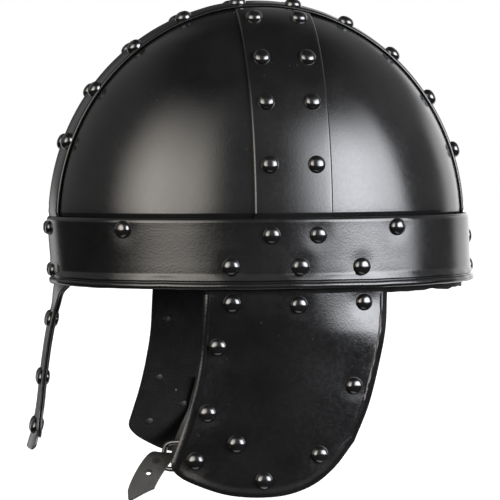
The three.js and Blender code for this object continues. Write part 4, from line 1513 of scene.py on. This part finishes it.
class HELMET_OT_stage(bpy.types.Operator):
    """Pale floor, soft studio light and the camera"""

    bl_idname = "helmet.stage"
    bl_label = "Stage"

    def soft_box(self, tree, turn, rise, box):
        """Mask of a soft box between two turns and two rises, in degrees."""
        bright, dim, least = box["fade"]
        mask = ramp(tree, turn, bright, dim, 1.0, least, "LINEAR")
        foot = ramp(tree, rise, *FOOT_RISE)
        first = sums(tree, "MULTIPLY_ADD", foot, box["foot"][0], turn)
        last = sums(tree, "MULTIPLY_ADD", foot, box["foot"][1], turn)
        for early, late, name in ((first, last, "turn"), (rise, rise, "rise")):
            start, end = box[name]
            inside = times(tree, ramp(tree, early, *start), ramp(tree, late, *end, 1.0, 0.0))
            mask = times(tree, mask, inside)
        return times(tree, mask, box["power"])

    def light_world(self, scene):
        world = bpy.data.worlds.new("studio")
        world.use_nodes = True
        scene.world = world
        tree = world.node_tree
        place = add_node(tree, "ShaderNodeTexCoord").outputs["Generated"]
        part = add_node(tree, "ShaderNodeSeparateXYZ")
        feed(tree, part.inputs[0], place)
        x, y, z = part.outputs
        facing = sums(tree, "SUBTRACT", times(tree, x, -CAMERA_FORWARD.x), times(tree, y, CAMERA_FORWARD.y))
        beside = sums(tree, "ADD", times(tree, x, CAMERA_RIGHT.x), times(tree, y, CAMERA_RIGHT.y))
        turn = sums(tree, "DEGREES", sums(tree, "ARCTAN2", beside, facing))
        rise = sums(tree, "DEGREES", sums(tree, "ARCSINE", z))
        around = sums(tree, "MODULO", sums(tree, "ADD", turn, 540.0 - BACKDROP["middle"]), 360.0)
        away = sums(tree, "ABSOLUTE", sums(tree, "SUBTRACT", around, 180.0))
        backdrop = times(tree, ramp(tree, away, *BACKDROP["turn"]), ramp(tree, rise, *BACKDROP["rise"]))
        room = times(
            tree, ramp(tree, rise, *ROOM["low"]), ramp(tree, rise, *ROOM["high"]),
            ramp(tree, turn, *ROOM["gloom"]),
        )
        total = sums(tree, "MULTIPLY_ADD", backdrop, BACKDROP["power"], ROOM["least"])
        total = sums(tree, "MULTIPLY_ADD", room, ROOM["power"], total)
        total = sums(tree, "MULTIPLY_ADD", ramp(tree, rise, *UNDER["rise"]), UNDER["power"], total)
        bright, dim, least = SWEEP["fade"]
        fade = ramp(tree, turn, bright, dim, 1.0, least, "LINEAR")
        sweep = times(tree, ramp(tree, turn, *SWEEP["turn"]), ramp(tree, rise, *SWEEP["rise"]), fade)
        total = sums(tree, "MULTIPLY_ADD", sweep, SWEEP["power"], total)
        light = as_colour(tree, (total, total, total))
        for box, colour in ((LEFT_BOX, LEFT_LIGHT), (RIGHT_BOX, RIGHT_LIGHT)):
            mask = self.soft_box(tree, turn, rise, box)
            tinted = as_colour(tree, [times(tree, mask, level) for level in colour])
            light = blend_colour(tree, 1.0, light, tinted, "ADD")
        seen = add_node(tree, "ShaderNodeLightPath").outputs["Is Camera Ray"]
        background = tree.nodes["Background"]
        feed(tree, background.inputs["Color"], blend_colour(tree, seen, light, grey(1.0)))

    def floor(self, scene):
        bm = bmesh.new()
        bmesh.ops.create_circle(bm, cap_ends=True, segments=96, radius=FLOOR_HALF)
        bmesh.ops.translate(bm, vec=(0, 0, FLOOR_DEPTH), verts=bm.verts)
        bm.normal_update()
        bmesh.ops.reverse_faces(bm, faces=[face for face in bm.faces if face.normal.z < 0])
        mesh = bpy.data.meshes.new("floor")
        bm.to_mesh(mesh)
        bm.free()
        floor = bpy.data.objects.new("floor", mesh)
        scene.collection.objects.link(floor)
        material, tree, shader = new_material("pale floor")
        place = object_place(tree)
        tone = ramp(tree, cloud(tree, place, 3.0, 3.0), 0.3, 0.7)
        feed(tree, shader.inputs["Base Color"], blend_colour(tree, tone, grey(0.86), grey(0.9)))
        shader.inputs["Roughness"].default_value = 0.9
        shader.inputs["Specular IOR Level"].default_value = 0.0
        shader.inputs["Emission Color"].default_value = grey(1.0)
        shader.inputs["Emission Strength"].default_value = FLOOR_GLOW
        below = add_node(tree, "ShaderNodeNewGeometry").outputs["Backfacing"]
        clear = add_node(tree, "ShaderNodeBsdfTransparent").outputs["BSDF"]
        either = add_node(tree, "ShaderNodeMixShader")
        for socket, source in zip(either.inputs, (below, shader.outputs["BSDF"], clear)):
            feed(tree, socket, source)
        output = next(node for node in tree.nodes if node.type == "OUTPUT_MATERIAL")
        feed(tree, output.inputs["Surface"], either.outputs["Shader"])
        mesh.materials.append(material)
        floor.visible_diffuse = False
        floor.visible_glossy = False

    def camera(self, scene):
        lens = bpy.data.cameras.new("camera")
        lens.lens = CAMERA_LENS
        lens.sensor_width = CAMERA_SENSOR
        lens.clip_start = 0.05
        lens.clip_end = 100.0
        camera = bpy.data.objects.new("camera", lens)
        scene.collection.objects.link(camera)
        up = Vector((0, 0, 1))
        aim = (CAMERA_FORWARD + CAMERA_RIGHT * CAMERA_AIM[0] + up * CAMERA_AIM[1]).normalized()
        level = aim.cross(up).normalized()
        raised = level.cross(aim)
        right = level * math.cos(CAMERA_ROLL) - raised * math.sin(CAMERA_ROLL)
        top = raised * math.cos(CAMERA_ROLL) + level * math.sin(CAMERA_ROLL)
        turned = Matrix((right, top, -aim)).transposed().to_4x4()
        camera.matrix_world = Matrix.Translation(CAMERA_PLACE) @ turned
        scene.camera = camera

    def execute(self, context):
        scene = context.scene
        self.light_world(scene)
        self.floor(scene)
        self.camera(scene)
        scene.view_settings.view_transform = "Standard"
        scene.view_settings.look = "None"
        return {"FINISHED"}


OPERATORS = (
    HELMET_OT_crown_plates, HELMET_OT_ridge_band, HELMET_OT_side_bands, HELMET_OT_brow_band,
    HELMET_OT_nose_guard, HELMET_OT_cheek_guards, HELMET_OT_cheek_linings, HELMET_OT_liner_band,
    HELMET_OT_chin_strap, HELMET_OT_chin_ring, HELMET_OT_rivets, HELMET_OT_stage,
)


class HELMET_PT_pieces(bpy.types.Panel):
    """Lists the helmet's sizes, finishes and pieces"""

    bl_idname = "HELMET_PT_pieces"
    bl_label = "Nasal helmet"
    bl_space_type = "VIEW_3D"
    bl_region_type = "UI"
    bl_category = "Helmet"

    def draw(self, context):
        layout = self.layout
        for group in (context.scene.helmet_sizes, context.scene.helmet_finish):
            for name in group.__annotations__:
                layout.prop(group, name)
        for operator in OPERATORS:
            layout.operator(operator.bl_idname)


CLASSES = (HelmetSizes, HelmetFinish, *OPERATORS, HELMET_PT_pieces)


def register():
    for item in CLASSES:
        bpy.utils.register_class(item)
    bpy.types.Scene.helmet_sizes = PointerProperty(type=HelmetSizes)
    bpy.types.Scene.helmet_finish = PointerProperty(type=HelmetFinish)


def unregister():
    del bpy.types.Scene.helmet_finish
    del bpy.types.Scene.helmet_sizes
    for item in reversed(CLASSES):
        bpy.utils.unregister_class(item)


def main():
    register()
    for operator in OPERATORS:
        family, name = operator.bl_idname.split(".")
        getattr(getattr(bpy.ops, family), name)()


if __name__ == "__main__":
    main()
